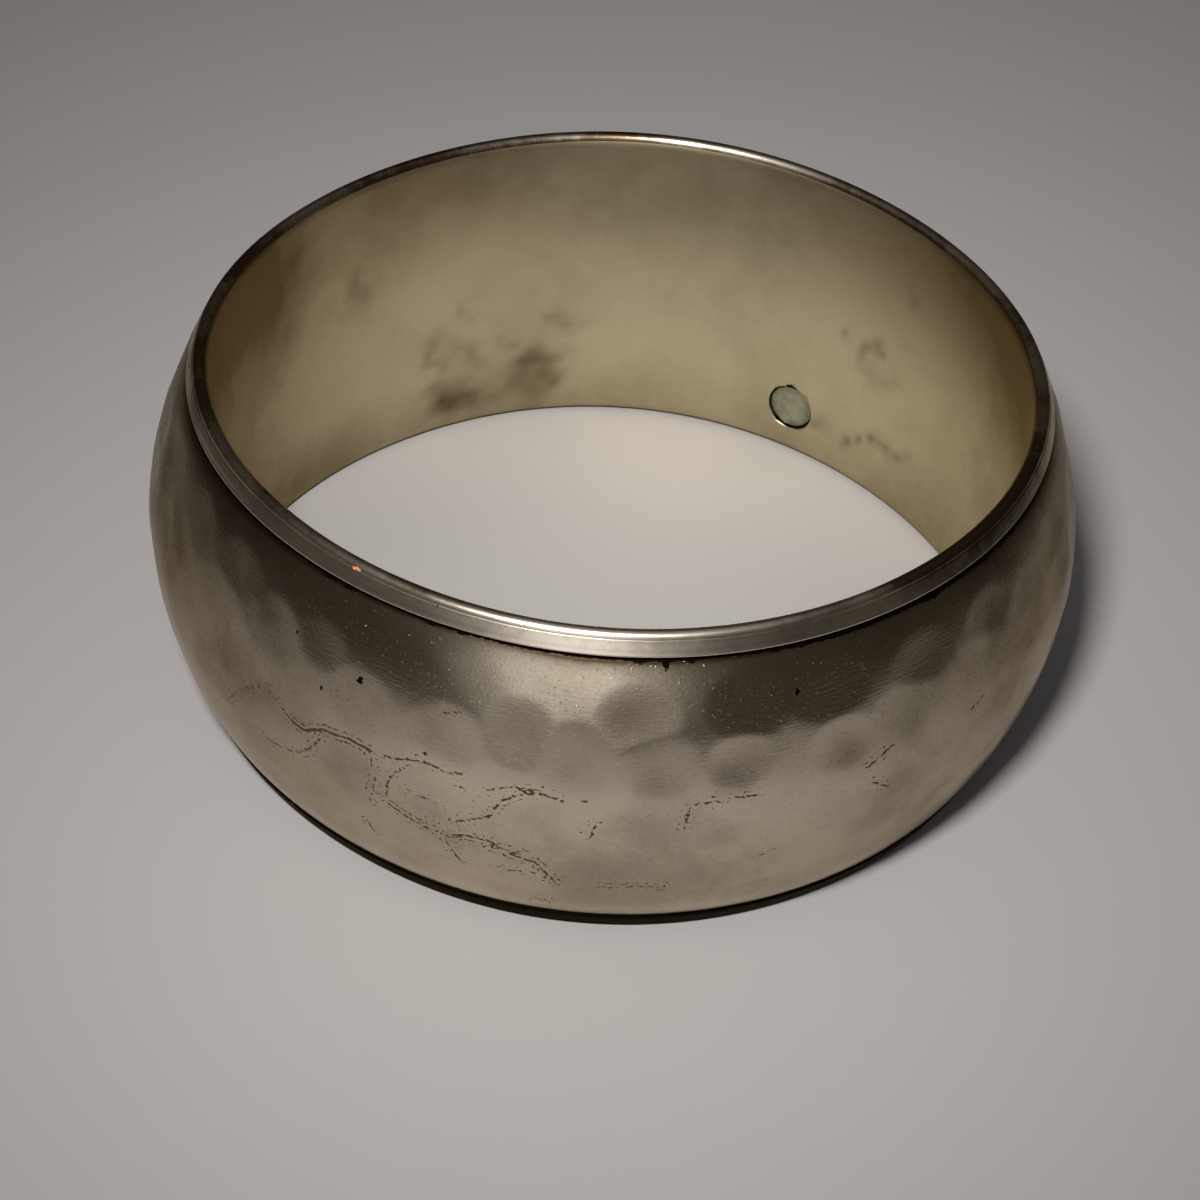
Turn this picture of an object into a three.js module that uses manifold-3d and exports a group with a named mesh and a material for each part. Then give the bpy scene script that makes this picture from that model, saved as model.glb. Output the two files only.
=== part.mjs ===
// A wide hollow bangle of hammered silver sheet, lying flat, in millimetres with +Z up.
// A domed outer shell is closed by a straight lining sleeve. The lining's ends are turned
// outwards and rolled into collars that lap the shell's edges, and a small plug closes the
// vent hole in the lining. The origin is at the middle of the lower collar's resting face,
// and the ring's axis is +Z. Angles run from the front (-Y) towards +X, in degrees.
import * as THREE from 'three';
import { mergeVertices } from 'three/addons/utils/BufferGeometryUtils.js';
import Module from 'manifold-3d';

// ---- driving dimensions ------------------------------------------------------------------
const BORE_RADIUS = 32;         // inside of the lining: a 64 mm bangle
const RING_HEIGHT = 29.3;       // crown of one collar to crown of the other
const SHEET = 0.7;              // silver sheet of the shell and the lining
const GAP = 0.3;                // clearance between the pieces

const BULGE_RADIUS = 37.05;     // widest part of the dome, at mid height
const SEAM_RADIUS = 33.7;       // outer corner of the collars, beside the dome's edges
const SEAM_DROP = 1.7;          // of that corner below the collar's crown
const DOME_POWER = 1.8;         // the dome's section is a rounded parabola:
const DOME_ROUNDING = 0.875;    // (1 - |height share| ** power) ** rounding
const SHELL_DEPTH = 0.84;       // the shell's sheet measured level, across its slope
const SHELL_EDGE_BEVEL = 0.2;   // its cut edges lean back by this

const VENT = { angle: 151.5, height: 4.75, radius: 2.2 };
const PLUG = { setback: 0.12, edgeAcross: 0.25, edgeAlong: 0.15 };
const DRILL_LENGTH = 4;         // of the tool that cuts the vent hole, past both faces

const RING_STEPS = 180;         // facets round the shell
const DOME_STEPS = 20;          // bands over the dome
const LINING_STEPS = 84;        // facets round the lining
const SHELL_BACK_PLACES = [0.97, 0.75, 0.4, 0, -0.4, -0.75, -0.97];   // bands inside the shell
const PLUG_STEPS = 24;

// The ring has been knocked a little out of round. Each row adds a number of high places,
// one of them at the angle, that stand out by the share of the radius.
const OUT_OF_ROUND = [
  { highPlaces: 3, angle: 46, share: 0.004 },
  { highPlaces: 4, angle: 0, share: 0.0065 },
];

// The profile of one collar, from the bore round its crown to the back of the lining's wall.
// out is measured from the bore's surface, drop from the collar's crown.
const COLLAR_PROFILE = [
  { out: 0, drop: 0.95 },         // bore
  { out: 0.1, drop: 0.5 },        // inner rounding
  { out: 0.3, drop: 0.17 },
  { out: 0.55, drop: 0 },         // flat crown
  { out: 0.98, drop: 0 },
  { out: 1.16, drop: 0.2 },       // thin bead at the head of the bevel
  { out: 1.27, drop: 0.58 },
  { out: 1.27, drop: 0.68 },      // fine line under it
  { out: 1.55, drop: 1.3 },       // bevel
  { out: 1.7, drop: 1.55 },       // thin lip over the seam
  { out: 1.7, drop: SEAM_DROP },
  { out: 1.2, drop: 1.8 },        // underside
  { out: SHEET, drop: 2.4 },      // back of the wall
];

// The hammer marks that stand out. Each blow left a shallow facet: width is along the ring,
// tall is up the dome, and depth is of its middle under the smooth dome.
const MARKED_BLOWS = [
  { angle: -35, height: 22.8, width: 4.4, tall: 3.6, depth: 0.12 },
  { angle: 4.5, height: 23.4, width: 5.9, tall: 4.8, depth: 0.21 },
  { angle: 17.5, height: 24.0, width: 6.4, tall: 4.8, depth: 0.18 },
  { angle: 27.5, height: 23.8, width: 6.8, tall: 4.3, depth: 0.17 },
  { angle: 41, height: 23.4, width: 6.2, tall: 4.2, depth: 0.16 },
  { angle: 53, height: 23.5, width: 5.5, tall: 3.8, depth: 0.15 },
  { angle: 62, height: 22.2, width: 5.4, tall: 4.2, depth: 0.15 },
  { angle: -64, height: 21.0, width: 5.4, tall: 4.8, depth: 0.16 },
  { angle: -52.5, height: 20.2, width: 5.4, tall: 5.2, depth: 0.18 },
  { angle: -43, height: 21.5, width: 5.8, tall: 4.7, depth: 0.18 },
  { angle: -28.5, height: 19.8, width: 5.6, tall: 4.8, depth: 0.17 },
  { angle: -17, height: 20.0, width: 5.8, tall: 4.6, depth: 0.17 },
  { angle: -9, height: 21.9, width: 4.7, tall: 4.4, depth: 0.16 },
  { angle: -2.5, height: 19.8, width: 4.9, tall: 5.0, depth: 0.19 },
  { angle: 7, height: 19.4, width: 4.9, tall: 5.0, depth: 0.20 },
  { angle: 16.5, height: 19.6, width: 4.6, tall: 4.5, depth: 0.24 },
  { angle: 29, height: 19.1, width: 5.5, tall: 4.3, depth: 0.23 },
  { angle: 37.5, height: 20.0, width: 6.0, tall: 4.5, depth: 0.16 },
  { angle: 50, height: 20.1, width: 6.4, tall: 4.6, depth: 0.18 },
  { angle: -54.5, height: 13.2, width: 5.6, tall: 5.2, depth: 0.15 },
  { angle: -42, height: 15.4, width: 5.2, tall: 5.0, depth: 0.15 },
  { angle: -30, height: 13.9, width: 5.6, tall: 5.4, depth: 0.15 },
  { angle: -19.5, height: 14.5, width: 6.0, tall: 6.0, depth: 0.16 },
  { angle: -6.5, height: 14.9, width: 5.0, tall: 4.4, depth: 0.12 },
  { angle: 4.5, height: 14.4, width: 5.4, tall: 5.6, depth: 0.14 },
  { angle: 15.5, height: 13.5, width: 5.0, tall: 5.0, depth: 0.11 },
  { angle: 28.5, height: 13.8, width: 5.4, tall: 5.0, depth: 0.12 },
  { angle: 39.5, height: 13.6, width: 5.6, tall: 5.0, depth: 0.12 },
];

// Everywhere else the blows run in rows. A row leaves out the arc from skipFrom to skipTo,
// whose blows are in the list above.
const BLOW_ROWS = [
  { height: 23.5, pitch: 10.8, width: 5.9, tall: 4.4, depth: 0.17, skipFrom: -42, skipTo: 68 },
  { height: 19.7, pitch: 10.4, width: 5.6, tall: 4.7, depth: 0.18, skipFrom: -70, skipTo: 56 },
  { height: 14.2, pitch: 10.6, width: 5.6, tall: 5.2, depth: 0.14, skipFrom: -60, skipTo: 45 },
  { height: 9.3, pitch: 10.9, width: 5.4, tall: 4.8, depth: 0.10, skipFrom: 0, skipTo: 0 },
  { height: 5.2, pitch: 11.2, width: 5.2, tall: 4.0, depth: 0.08, skipFrom: 0, skipTo: 0 },
];
const ROW_WANDER = { angle: 2.2, height: 0.9, size: 0.6 };

// ---- helpers -----------------------------------------------------------------------------
const { degToRad, radToDeg, euclideanModulo } = THREE.MathUtils;

/** A repeatable number from -1 to 1 that looks random, for a series and a place in it. */
function wander(series, place) {
  const wave = Math.sin(series * 127.1 + place * 311.7) * 43758.5453;
  return 2 * (wave - Math.floor(wave)) - 1;
}

/** The angle round the ring of a point, in degrees from the front towards +X. */
function angleOf(spot) {
  return radToDeg(Math.atan2(spot.x, -spot.y));
}

/** How far the ring is out of round at an angle, as a factor on its radius. */
function roundness(angle) {
  return OUT_OF_ROUND.reduce(
    (factor, row) => factor + row.share * Math.cos(degToRad(row.highPlaces * (angle - row.angle))),
    1,
  );
}

/** Moves each vertex in or out to the radius that a function of the vertex gives. */
function reshape(geometry, radiusOf) {
  const spots = geometry.attributes.position;
  const spot = new THREE.Vector3();
  for (let index = 0; index < spots.count; index += 1) {
    spot.fromBufferAttribute(spots, index);
    const radius = Math.hypot(spot.x, spot.y);
    const factor = radiusOf(spot, radius, index) / radius;
    spots.setXYZ(index, spot.x * factor, spot.y * factor, spot.z);
  }
  geometry.computeVertexNormals();
  return geometry;
}

/** The geometry of a closed profile of [radius, height] pairs turned round +Z. */
function turned(profile, steps) {
  const points = [...profile, profile[0]].map(([radius, height]) => new THREE.Vector2(radius, height));
  return new THREE.LatheGeometry(points, steps).rotateX(Math.PI / 2);
}

/** A named mesh with its metal's colour and finish. */
function piece(name, geometry, finish) {
  const mesh = new THREE.Mesh(geometry, new THREE.MeshStandardMaterial(finish));
  mesh.name = name;
  return mesh;
}

/** A closed geometry as a manifold-3d solid. */
function toSolid(wasm, geometry) {
  const bare = geometry.clone();
  bare.deleteAttribute('normal');
  bare.deleteAttribute('uv');
  const merged = mergeVertices(bare, 1e-4);
  return new wasm.Manifold(new wasm.Mesh({
    numProp: 3,
    vertProperties: new Float32Array(merged.attributes.position.array),
    triVerts: new Uint32Array(merged.index.array),
  }));
}

/** A manifold-3d solid as a three.js geometry. */
function toGeometry(solid) {
  const mesh = solid.getMesh();
  const geometry = new THREE.BufferGeometry();
  geometry.setAttribute('position', new THREE.BufferAttribute(mesh.vertProperties, 3));
  geometry.setIndex(new THREE.BufferAttribute(mesh.triVerts, 1));
  return geometry;
}

// ---- the hammer blows --------------------------------------------------------------------
/** Every blow round the ring: the marked ones, then the rows. */
function allBlows() {
  const blows = [...MARKED_BLOWS];
  BLOW_ROWS.forEach((row, rowNumber) => {
    const count = Math.round(360 / row.pitch);
    const series = 4 * rowNumber;
    for (let place = 0; place < count; place += 1) {
      const angle = -180 + (place + 0.5 * (rowNumber % 2)) * (360 / count);
      if (angle > row.skipFrom && angle < row.skipTo) continue;
      blows.push({
        angle: angle + ROW_WANDER.angle * wander(series, place),
        height: row.height + ROW_WANDER.height * wander(series + 1, place),
        width: row.width + ROW_WANDER.size * wander(series + 2, place),
        tall: row.tall + ROW_WANDER.size * wander(series + 3, place),
        depth: row.depth,
      });
    }
  });
  return blows;
}

/** How deep the surface lies under the smooth dome, at an angle and height of the ring. */
function dentDepth(blows, angle, height) {
  let deepest = 0;
  for (const blow of blows) {
    const turn = euclideanModulo(angle - blow.angle + 180, 360) - 180;
    const along = (degToRad(turn) * BULGE_RADIUS) / (blow.width / 2);
    const up = (height - blow.height) / (blow.tall / 2);
    deepest = Math.max(deepest, blow.depth * (1 - along * along - up * up));
  }
  return deepest;
}

// ---- the pieces --------------------------------------------------------------------------
const MID_HEIGHT = RING_HEIGHT / 2;
const DOME_HALF = MID_HEIGHT - SEAM_DROP - GAP;

/** Radius of the smooth dome, from -1 at the lower seam to 1 at the upper one. */
function domeRadius(place) {
  const share = (1 - Math.abs(place) ** DOME_POWER) ** DOME_ROUNDING;
  return SEAM_RADIUS + (BULGE_RADIUS - SEAM_RADIUS) * share;
}

/** The domed outer shell: a C-shaped wall whose edges end beside the collars. */
function hammeredShell() {
  const outside = [];
  for (let step = 0; step <= DOME_STEPS; step += 1) {
    const place = Math.sin(Math.PI * (step / DOME_STEPS - 0.5));
    outside.push([domeRadius(place), MID_HEIGHT + DOME_HALF * place]);
  }
  const inside = SHELL_BACK_PLACES.map((place) => [
    Math.max(domeRadius(place) - SHELL_DEPTH, BORE_RADIUS + SHEET + GAP),
    MID_HEIGHT + (DOME_HALF - SHELL_EDGE_BEVEL) * place,
  ]);
  const columnLength = outside.length + inside.length + 1;
  const blows = allBlows();
  return reshape(turned([...outside, ...inside], RING_STEPS), (spot, radius, index) => {
    const place = index % columnLength;
    const struck = place > 0 && place < outside.length - 1;
    const angle = angleOf(spot);
    return roundness(angle) * radius - (struck ? dentDepth(blows, angle, spot.z) : 0);
  });
}

/** Where something centred on the vent's axis goes: its +Y points outwards through the wall. */
function ventPlace(outwards) {
  const angle = degToRad(VENT.angle - 90);
  const radius = BORE_RADIUS * roundness(VENT.angle) + SHEET / 2 + outwards;
  return new THREE.Matrix4()
    .makeTranslation(radius * Math.cos(angle), radius * Math.sin(angle), VENT.height)
    .multiply(new THREE.Matrix4().makeRotationZ(angle - Math.PI / 2));
}

/** The straight lining with its two rolled collars, and the vent hole through its wall. */
function liningSleeve(wasm) {
  const lower = COLLAR_PROFILE.map(({ out, drop }) => [BORE_RADIUS + out, drop]);
  const upper = COLLAR_PROFILE.map(({ out, drop }) => [BORE_RADIUS + out, RING_HEIGHT - drop]);
  const wall = turned([...lower, ...upper.reverse()], LINING_STEPS);
  reshape(wall, (spot, radius) => roundness(angleOf(spot)) * radius);
  const drill = new THREE.CylinderGeometry(VENT.radius, VENT.radius, DRILL_LENGTH, PLUG_STEPS);
  drill.applyMatrix4(ventPlace(0));
  return toGeometry(toSolid(wasm, wall).subtract(toSolid(wasm, drill)));
}

/** The small disc that closes the vent hole, a little below the bore's surface. */
function ventPlug() {
  const radius = VENT.radius - GAP;
  const half = (SHEET - PLUG.setback) / 2;
  const profile = [
    [0, -half],
    [radius - PLUG.edgeAcross, -half],
    [radius, -half + PLUG.edgeAlong],
    [radius, half],
    [0, half],
  ].map(([across, along]) => new THREE.Vector2(across, along));
  return new THREE.LatheGeometry(profile, PLUG_STEPS).applyMatrix4(ventPlace(PLUG.setback / 2));
}

// ---- the bangle --------------------------------------------------------------------------
const wasm = await Module();
wasm.setup();

const bangle = new THREE.Group();
bangle.name = 'bangle';
bangle.add(piece('hammered_shell', hammeredShell(), { color: 0x8f8474, metalness: 1, roughness: 0.28 }));
bangle.add(piece('lining_sleeve', liningSleeve(wasm), { color: 0x9a8c66, metalness: 1, roughness: 0.45 }));
bangle.add(piece('vent_plug', ventPlug(), { color: 0x7c785f, metalness: 1, roughness: 0.5 }));

export default bangle;
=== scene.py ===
"""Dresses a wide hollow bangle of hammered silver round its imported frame.

The bangle lies flat, with its axis on +Z and the middle of its foot at the origin. Angles
round it run from the front (-Y) towards +X, in degrees. Sizes are in millimetres until a
mesh or a light is made, and then in metres.
"""

import logging
import math
from dataclasses import dataclass, replace
from enum import Enum

import bpy
import numpy as np
from bpy.types import ID, Material, Mesh, Node, NodeSocket, NodeTree, Object
from mathutils import Matrix, Vector


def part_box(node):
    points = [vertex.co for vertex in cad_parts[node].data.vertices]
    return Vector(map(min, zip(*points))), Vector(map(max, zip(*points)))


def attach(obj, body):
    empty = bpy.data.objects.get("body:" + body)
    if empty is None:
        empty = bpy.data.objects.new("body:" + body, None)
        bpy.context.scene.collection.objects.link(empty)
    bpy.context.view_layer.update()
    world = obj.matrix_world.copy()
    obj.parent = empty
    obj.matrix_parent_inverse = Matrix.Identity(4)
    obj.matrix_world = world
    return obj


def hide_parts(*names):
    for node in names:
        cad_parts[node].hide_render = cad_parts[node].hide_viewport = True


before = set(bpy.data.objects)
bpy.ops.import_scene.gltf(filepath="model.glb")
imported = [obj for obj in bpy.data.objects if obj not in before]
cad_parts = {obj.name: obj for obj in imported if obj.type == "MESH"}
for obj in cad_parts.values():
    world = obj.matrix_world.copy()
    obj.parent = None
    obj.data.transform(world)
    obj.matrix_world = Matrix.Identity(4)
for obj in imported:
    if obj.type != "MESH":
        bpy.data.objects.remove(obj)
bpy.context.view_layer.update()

MM = 0.001
RING_BODY = "root"

logging.basicConfig(level=logging.INFO, format="%(message)s")
log = logging.getLogger("bangle")


# ---- numbers and colours
def linear(hex_colour: str) -> tuple[float, float, float, float]:
    """Turns an sRGB hex colour into the linear values that a shader takes.

    Args:
        hex_colour: The colour as "#RRGGBB".

    Returns:
        Linear red, green and blue, and an alpha of 1.
    """
    channels = [int(hex_colour[start:start + 2], 16) / 255 for start in (1, 3, 5)]
    red, green, blue = (
        value / 12.92 if value <= 0.04045 else ((value + 0.055) / 1.055) ** 2.4
        for value in channels
    )
    return red, green, blue, 1.0


def per(size_mm: float) -> float:
    """Gives the texture scale, on coordinates in metres, whose features have a size in millimetres."""
    return 1 / (size_mm * MM)


# Factors with no pattern between them, so that the sines of their products look random.
WANDER_FACTORS = (127.1, 311.7, 43758.5453)


def wander(series: int, place: int) -> float:
    """Gives a repeatable number from -1 to 1 that looks random.

    Args:
        series: Which run of numbers.
        place: Which number of the run.

    Returns:
        The number.
    """
    for_series, for_place, for_wave = WANDER_FACTORS
    wave = math.sin(series * for_series + place * for_place) * for_wave
    return 2 * (wave - math.floor(wave)) - 1


def ease(values: np.ndarray, start: float, end: float) -> np.ndarray:
    """Eases values from 0, at start and before it, to 1, at end and past it."""
    share = np.clip((values - start) / (end - start), 0, 1)
    return share * share * (3 - 2 * share)


def wrapped(turn: np.ndarray) -> np.ndarray:
    """Brings turns round the ring into the range from -180 to 180 degrees."""
    return (turn + 180) % 360 - 180


@dataclass(frozen=True)
class Fade:
    """A share that comes in smoothly over a stretch of angles, heights or gaps, up or down."""

    strength: float
    start: float
    full: float

    def at(self, values: np.ndarray) -> np.ndarray:
        """Gives the share at each value: none before start, and all of it past full."""
        return self.strength * ease(values, self.start, self.full)


@dataclass(frozen=True)
class Band:
    """A share that comes in smoothly over one stretch and goes out again over another."""

    strength: float
    start: float
    full: float
    fading: float
    gone: float

    def at(self, values: np.ndarray) -> np.ndarray:
        """Gives the share at each value: all of it from full to fading."""
        come = ease(values, self.start, self.full)
        return self.strength * come * ease(values, self.gone, self.fading)


@dataclass(frozen=True)
class Streak:
    """A share that is strongest at one angle, height or gap and thins out on both sides of it."""

    strength: float
    middle: float
    spread: float

    def at(self, values: np.ndarray) -> np.ndarray:
        """Gives the share at each value."""
        return self.strength * np.exp(-((values - self.middle) / self.spread) ** 2)


@dataclass(frozen=True)
class Wave:
    """A sine over the unrolled wall: its crests round the ring, its climb, its start and its size."""

    crests: int
    climb: float
    start: float = 0.0
    size: float = 1.0

    def at(self, angle: np.ndarray, height: np.ndarray) -> np.ndarray:
        """Gives the wave at angles and heights."""
        return self.size * np.sin(self.crests * np.radians(angle) + self.climb * height + self.start)


# ---- the ring's form, as the solids have it
@dataclass(frozen=True)
class Blow:
    """One hammer blow: where it fell, how wide and tall its facet is, and how deep."""

    angle: float
    height: float
    width: float
    tall: float
    depth: float


@dataclass(frozen=True)
class BlowRow:
    """A row of blows round the ring, leaving out the arc whose blows are listed one by one."""

    height: float
    pitch: float
    width: float
    tall: float
    depth: float
    skip_from: float = 0
    skip_to: float = 0


# The blows on the front, one by one: angle, height, width, tallness and depth.
MARKED_BLOWS = [
    Blow(-35, 22.8, 4.4, 3.6, 0.12),
    Blow(4.5, 23.4, 5.9, 4.8, 0.21),
    Blow(17.5, 24.0, 6.4, 4.8, 0.18),
    Blow(27.5, 23.8, 6.8, 4.3, 0.17),
    Blow(41, 23.4, 6.2, 4.2, 0.16),
    Blow(53, 23.5, 5.5, 3.8, 0.15),
    Blow(62, 22.2, 5.4, 4.2, 0.15),
    Blow(-64, 21.0, 5.4, 4.8, 0.16),
    Blow(-52.5, 20.2, 5.4, 5.2, 0.18),
    Blow(-43, 21.5, 5.8, 4.7, 0.18),
    Blow(-28.5, 19.8, 5.6, 4.8, 0.17),
    Blow(-17, 20.0, 5.8, 4.6, 0.17),
    Blow(-9, 21.3, 5.2, 5.4, 0.22),
    Blow(-2.5, 20.0, 5.5, 5.4, 0.22),
    Blow(7, 19.7, 5.4, 5.4, 0.22),
    Blow(16.5, 19.6, 4.8, 4.3, 0.28),
    Blow(29, 19.1, 5.5, 4.2, 0.28),
    Blow(37.5, 20.0, 6.0, 4.5, 0.16),
    Blow(50, 20.1, 6.4, 4.6, 0.18),
    Blow(-54.5, 13.2, 5.6, 5.2, 0.15),
    Blow(-42, 15.4, 5.2, 5.0, 0.15),
    Blow(-30, 13.9, 5.6, 5.4, 0.15),
    Blow(-19.5, 14.5, 6.0, 6.0, 0.16),
    Blow(-6.5, 14.9, 5.0, 4.4, 0.12),
    Blow(4.5, 14.4, 5.4, 5.6, 0.14),
    Blow(15.5, 13.5, 5.0, 5.0, 0.11),
    Blow(28.5, 13.8, 5.4, 5.0, 0.12),
    Blow(39.5, 13.6, 5.6, 5.0, 0.12),
]

# The blows of the rest of the ring, row by row from the top.
BLOW_ROWS = [
    BlowRow(height=23.5, pitch=10.8, width=5.9, tall=4.4, depth=0.17, skip_from=-42, skip_to=68),
    BlowRow(height=19.7, pitch=10.4, width=5.6, tall=4.7, depth=0.18, skip_from=-70, skip_to=56),
    BlowRow(height=14.2, pitch=10.6, width=5.6, tall=5.2, depth=0.14, skip_from=-60, skip_to=45),
    BlowRow(height=9.3, pitch=10.9, width=5.4, tall=4.8, depth=0.10),
    BlowRow(height=5.2, pitch=11.2, width=5.2, tall=4.0, depth=0.08),
]


@dataclass(frozen=True)
class RingForm:
    """The sizes that the shell and the lining share, and the shapes worked out from them."""

    height: float
    bore_radius: float = 32.0
    bulge_radius: float = 37.05
    seam_radius: float = 33.7
    seam_drop: float = 1.7
    seam_gap: float = 0.12
    clearance: float = 0.3
    sheet: float = 0.7
    dome_power: float = 1.8
    dome_rounding: float = 0.875
    out_of_round: tuple[tuple[int, float, float], ...] = ((3, 46, 0.004), (4, 0, 0.0065))
    blow_rim_softness: float = 1.3
    blow_spread: float = 1.15
    blow_share: float = 0.72
    wander_angle: float = 2.2
    wander_height: float = 0.9
    wander_size: float = 0.6

    @property
    def middle(self) -> float:
        """Height of the dome's widest line."""
        return self.height / 2

    @property
    def dome_half(self) -> float:
        """Height from the dome's widest line to either of its cut edges."""
        return self.middle - self.seam_drop - self.seam_gap

    def edge_gap(self, height: np.ndarray) -> np.ndarray:
        """Gives how far each height lies inside the nearer cut edge of the dome."""
        return self.dome_half - np.abs(height - self.middle)

    def roundness(self, angle: np.ndarray) -> np.ndarray:
        """Says how far the ring is out of round, as a factor on its radius.

        Args:
            angle: Angles round the ring.

        Returns:
            The factor at each angle.
        """
        factor = np.ones_like(angle, dtype=float)
        for high_places, first, share in self.out_of_round:
            factor += share * np.cos(np.radians(high_places * (angle - first)))
        return factor

    def dome_radius(self, place: np.ndarray) -> np.ndarray:
        """Gives the smooth dome's radius at places from -1, the lower cut edge, to 1, the upper."""
        share = np.maximum(1 - np.abs(place) ** self.dome_power, 0) ** self.dome_rounding
        return self.seam_radius + (self.bulge_radius - self.seam_radius) * share

    def all_blows(self) -> list[Blow]:
        """Lists every hammer blow round the ring.

        Returns:
            The marked blows, then the rows.
        """
        blows = list(MARKED_BLOWS)
        for number, row in enumerate(BLOW_ROWS):
            count = round(360 / row.pitch)
            # Each row draws on four runs of numbers, and every other row is shifted by half a step.
            series = 4 * number
            for place in range(count):
                angle = -180 + (place + 0.5 * (number % 2)) * (360 / count)
                if row.skip_from < angle < row.skip_to:
                    continue
                blows.append(Blow(
                    angle=angle + self.wander_angle * wander(series, place),
                    height=row.height + self.wander_height * wander(series + 1, place),
                    width=row.width + self.wander_size * wander(series + 2, place),
                    tall=row.tall + self.wander_size * wander(series + 3, place),
                    depth=row.depth,
                ))
        return blows

    def dent_depth(self, angle: np.ndarray, height: np.ndarray) -> np.ndarray:
        """Says how deep the hammered surface lies under the smooth dome.

        Args:
            angle: Angles round the ring.
            height: Heights on it, in an array of the same shape.

        Returns:
            The depth at each of them.
        """
        deepest = np.zeros_like(angle, dtype=float)
        for blow in self.all_blows():
            turn = np.radians(wrapped(angle - blow.angle))
            along = turn * self.bulge_radius / (self.blow_spread * blow.width / 2)
            up = (height - blow.height) / (self.blow_spread * blow.tall / 2)
            bowl = np.maximum(1 - along ** 2 - up ** 2, 0) ** self.blow_rim_softness
            deepest = np.maximum(deepest, self.blow_share * blow.depth * bowl)
        return deepest


# ---- marks of age
@dataclass(frozen=True)
class Trail:
    """A run of stain: its places as (angle, height), and how far it spreads to each side."""

    places: tuple[tuple[float, float], ...]
    spread: float = 0.24
    strength: float = 1.0


@dataclass(frozen=True)
class Spot:
    """A round mark or hole: its place, its radius and how strong it is."""

    angle: float
    height: float
    radius: float
    strength: float = 1.0


# Dark stain that runs over the dome in trails.
SHELL_TRAILS = [
    Trail(((-51, 11.2), (-47.7, 13.8), (-45, 15.5), (-42.5, 16.3)), spread=0.55, strength=0.74),
    Trail(((-42.5, 16.3), (-40.5, 15.8), (-38.8, 15.1)), strength=0.85),
    Trail(((-38.8, 15.1), (-36, 14.9), (-33, 16), (-29.5, 16.3), (-26.5, 16.2)), strength=1.35),
    Trail(((-44, 10.8), (-42, 10.9), (-38, 11.7), (-36, 12.6), (-33.6, 14.9)), strength=0.9),
    Trail(((-26.5, 15.8), (-25.8, 13.5), (-26.8, 10.9)), spread=0.45, strength=0.83),
    Trail(((-24.5, 16.3), (-19.5, 17.1), (-17.7, 16.9)), strength=1.03),
    Trail(((-16.4, 16.9), (-15, 17.1)), spread=0.2, strength=0.99),
    Trail(((-21.7, 16.3), (-23.8, 14.5), (-24.4, 13.3), (-24.2, 12.2)), strength=0.85),
    Trail(((-22, 13.8), (-17.5, 13.5)), spread=0.3, strength=0.72),
    Trail(((-15.7, 15.8), (-13.4, 15.9)), spread=0.22, strength=0.81),
    Trail(((-24.4, 11.6), (-20, 10.4), (-16.5, 10.3), (-14.5, 10.9)), spread=0.6, strength=0.95),
    Trail(((-14.5, 10.9), (-11.5, 10.8), (-9, 9.7), (-6.2, 9.3), (-3.9, 7)), spread=0.5, strength=1.0),
    Trail(((-19, 11.2), (-14, 9.9), (-8, 10.3)), spread=0.8, strength=0.77),
    Trail(
        ((-15.7, 12.1), (-11.5, 13.8), (-10.4, 15.4), (-8.2, 16.4), (-5.8, 16.8), (-3.7, 16.5)),
        strength=0.99,
    ),
    Trail(((-12, 16.2), (-9.4, 16.9), (-5.4, 17.3)), strength=0.9),
    Trail(((-17, 9.6), (-16.3, 8.4), (-15.2, 7.1)), spread=0.2, strength=0.9),
    Trail(((-27.8, 8), (-27, 6.8)), spread=0.2),
    Trail(((-10, 7.6), (-6.8, 8), (-3.9, 7)), spread=0.4, strength=0.81),
    Trail(((-6.7, 4), (-4.5, 3.9)), spread=0.3, strength=0.85),
    Trail(((1.5, 6.9), (5, 7.1), (9, 7)), spread=0.5, strength=0.81),
    Trail(((-18.1, 21.6), (-16, 22)), spread=0.2, strength=0.99),
    Trail(((11.5, 16.4), (14, 16.5))),
    Trail(((15.5, 16.7), (18.5, 16.6)), spread=0.2),
    Trail(((10.3, 14.2), (10.6, 15.8)), spread=0.2),
    Trail(((0, 13.2), (0.4, 14.6)), spread=0.2),
    Trail(((32.5, 16.4), (35.5, 17.4))),
    Trail(((33.5, 14.6), (35.5, 13.6)), spread=0.2),
    Trail(((48.5, 16.6), (50.5, 17)), spread=0.2),
    Trail(((19, 9.6), (22.5, 10.2)), spread=0.3, strength=0.72),
]
# Round each trail, a scatter of specks thins out like this.
TRAIL_SCATTER = Streak(0.42, middle=0, spread=1.4)
# Each trail is a few thin strands side by side: half the width of one and of its darkest core, how
# far apart they lie, how far they wander and fray, and how far past the trail's spread they reach.
STRAND_HALF_MM = 0.21
STRAND_CORE_MM = 0.3 * STRAND_HALF_MM
STRAND_APART_MM = 0.5
STRAND_WANDER_MM = 0.45
STRAND_FRAY_MM = 0.25
STRAND_REACH_MM = 0.4
# Wander and fray both push the strands one way, so they are drawn back by half of them.
STRAND_SHIFT_MM = (STRAND_WANDER_MM + STRAND_FRAY_MM) / 2
# Distances from the trails are cut off here, where no strand is left.
STRAND_NONE_MM = 9.0
# The stains go on round the back, where the same trails are laid again, turned and fainter.
TRAIL_REPEATS = ((118.0, 0.75), (-122.0, 0.7))

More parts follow.
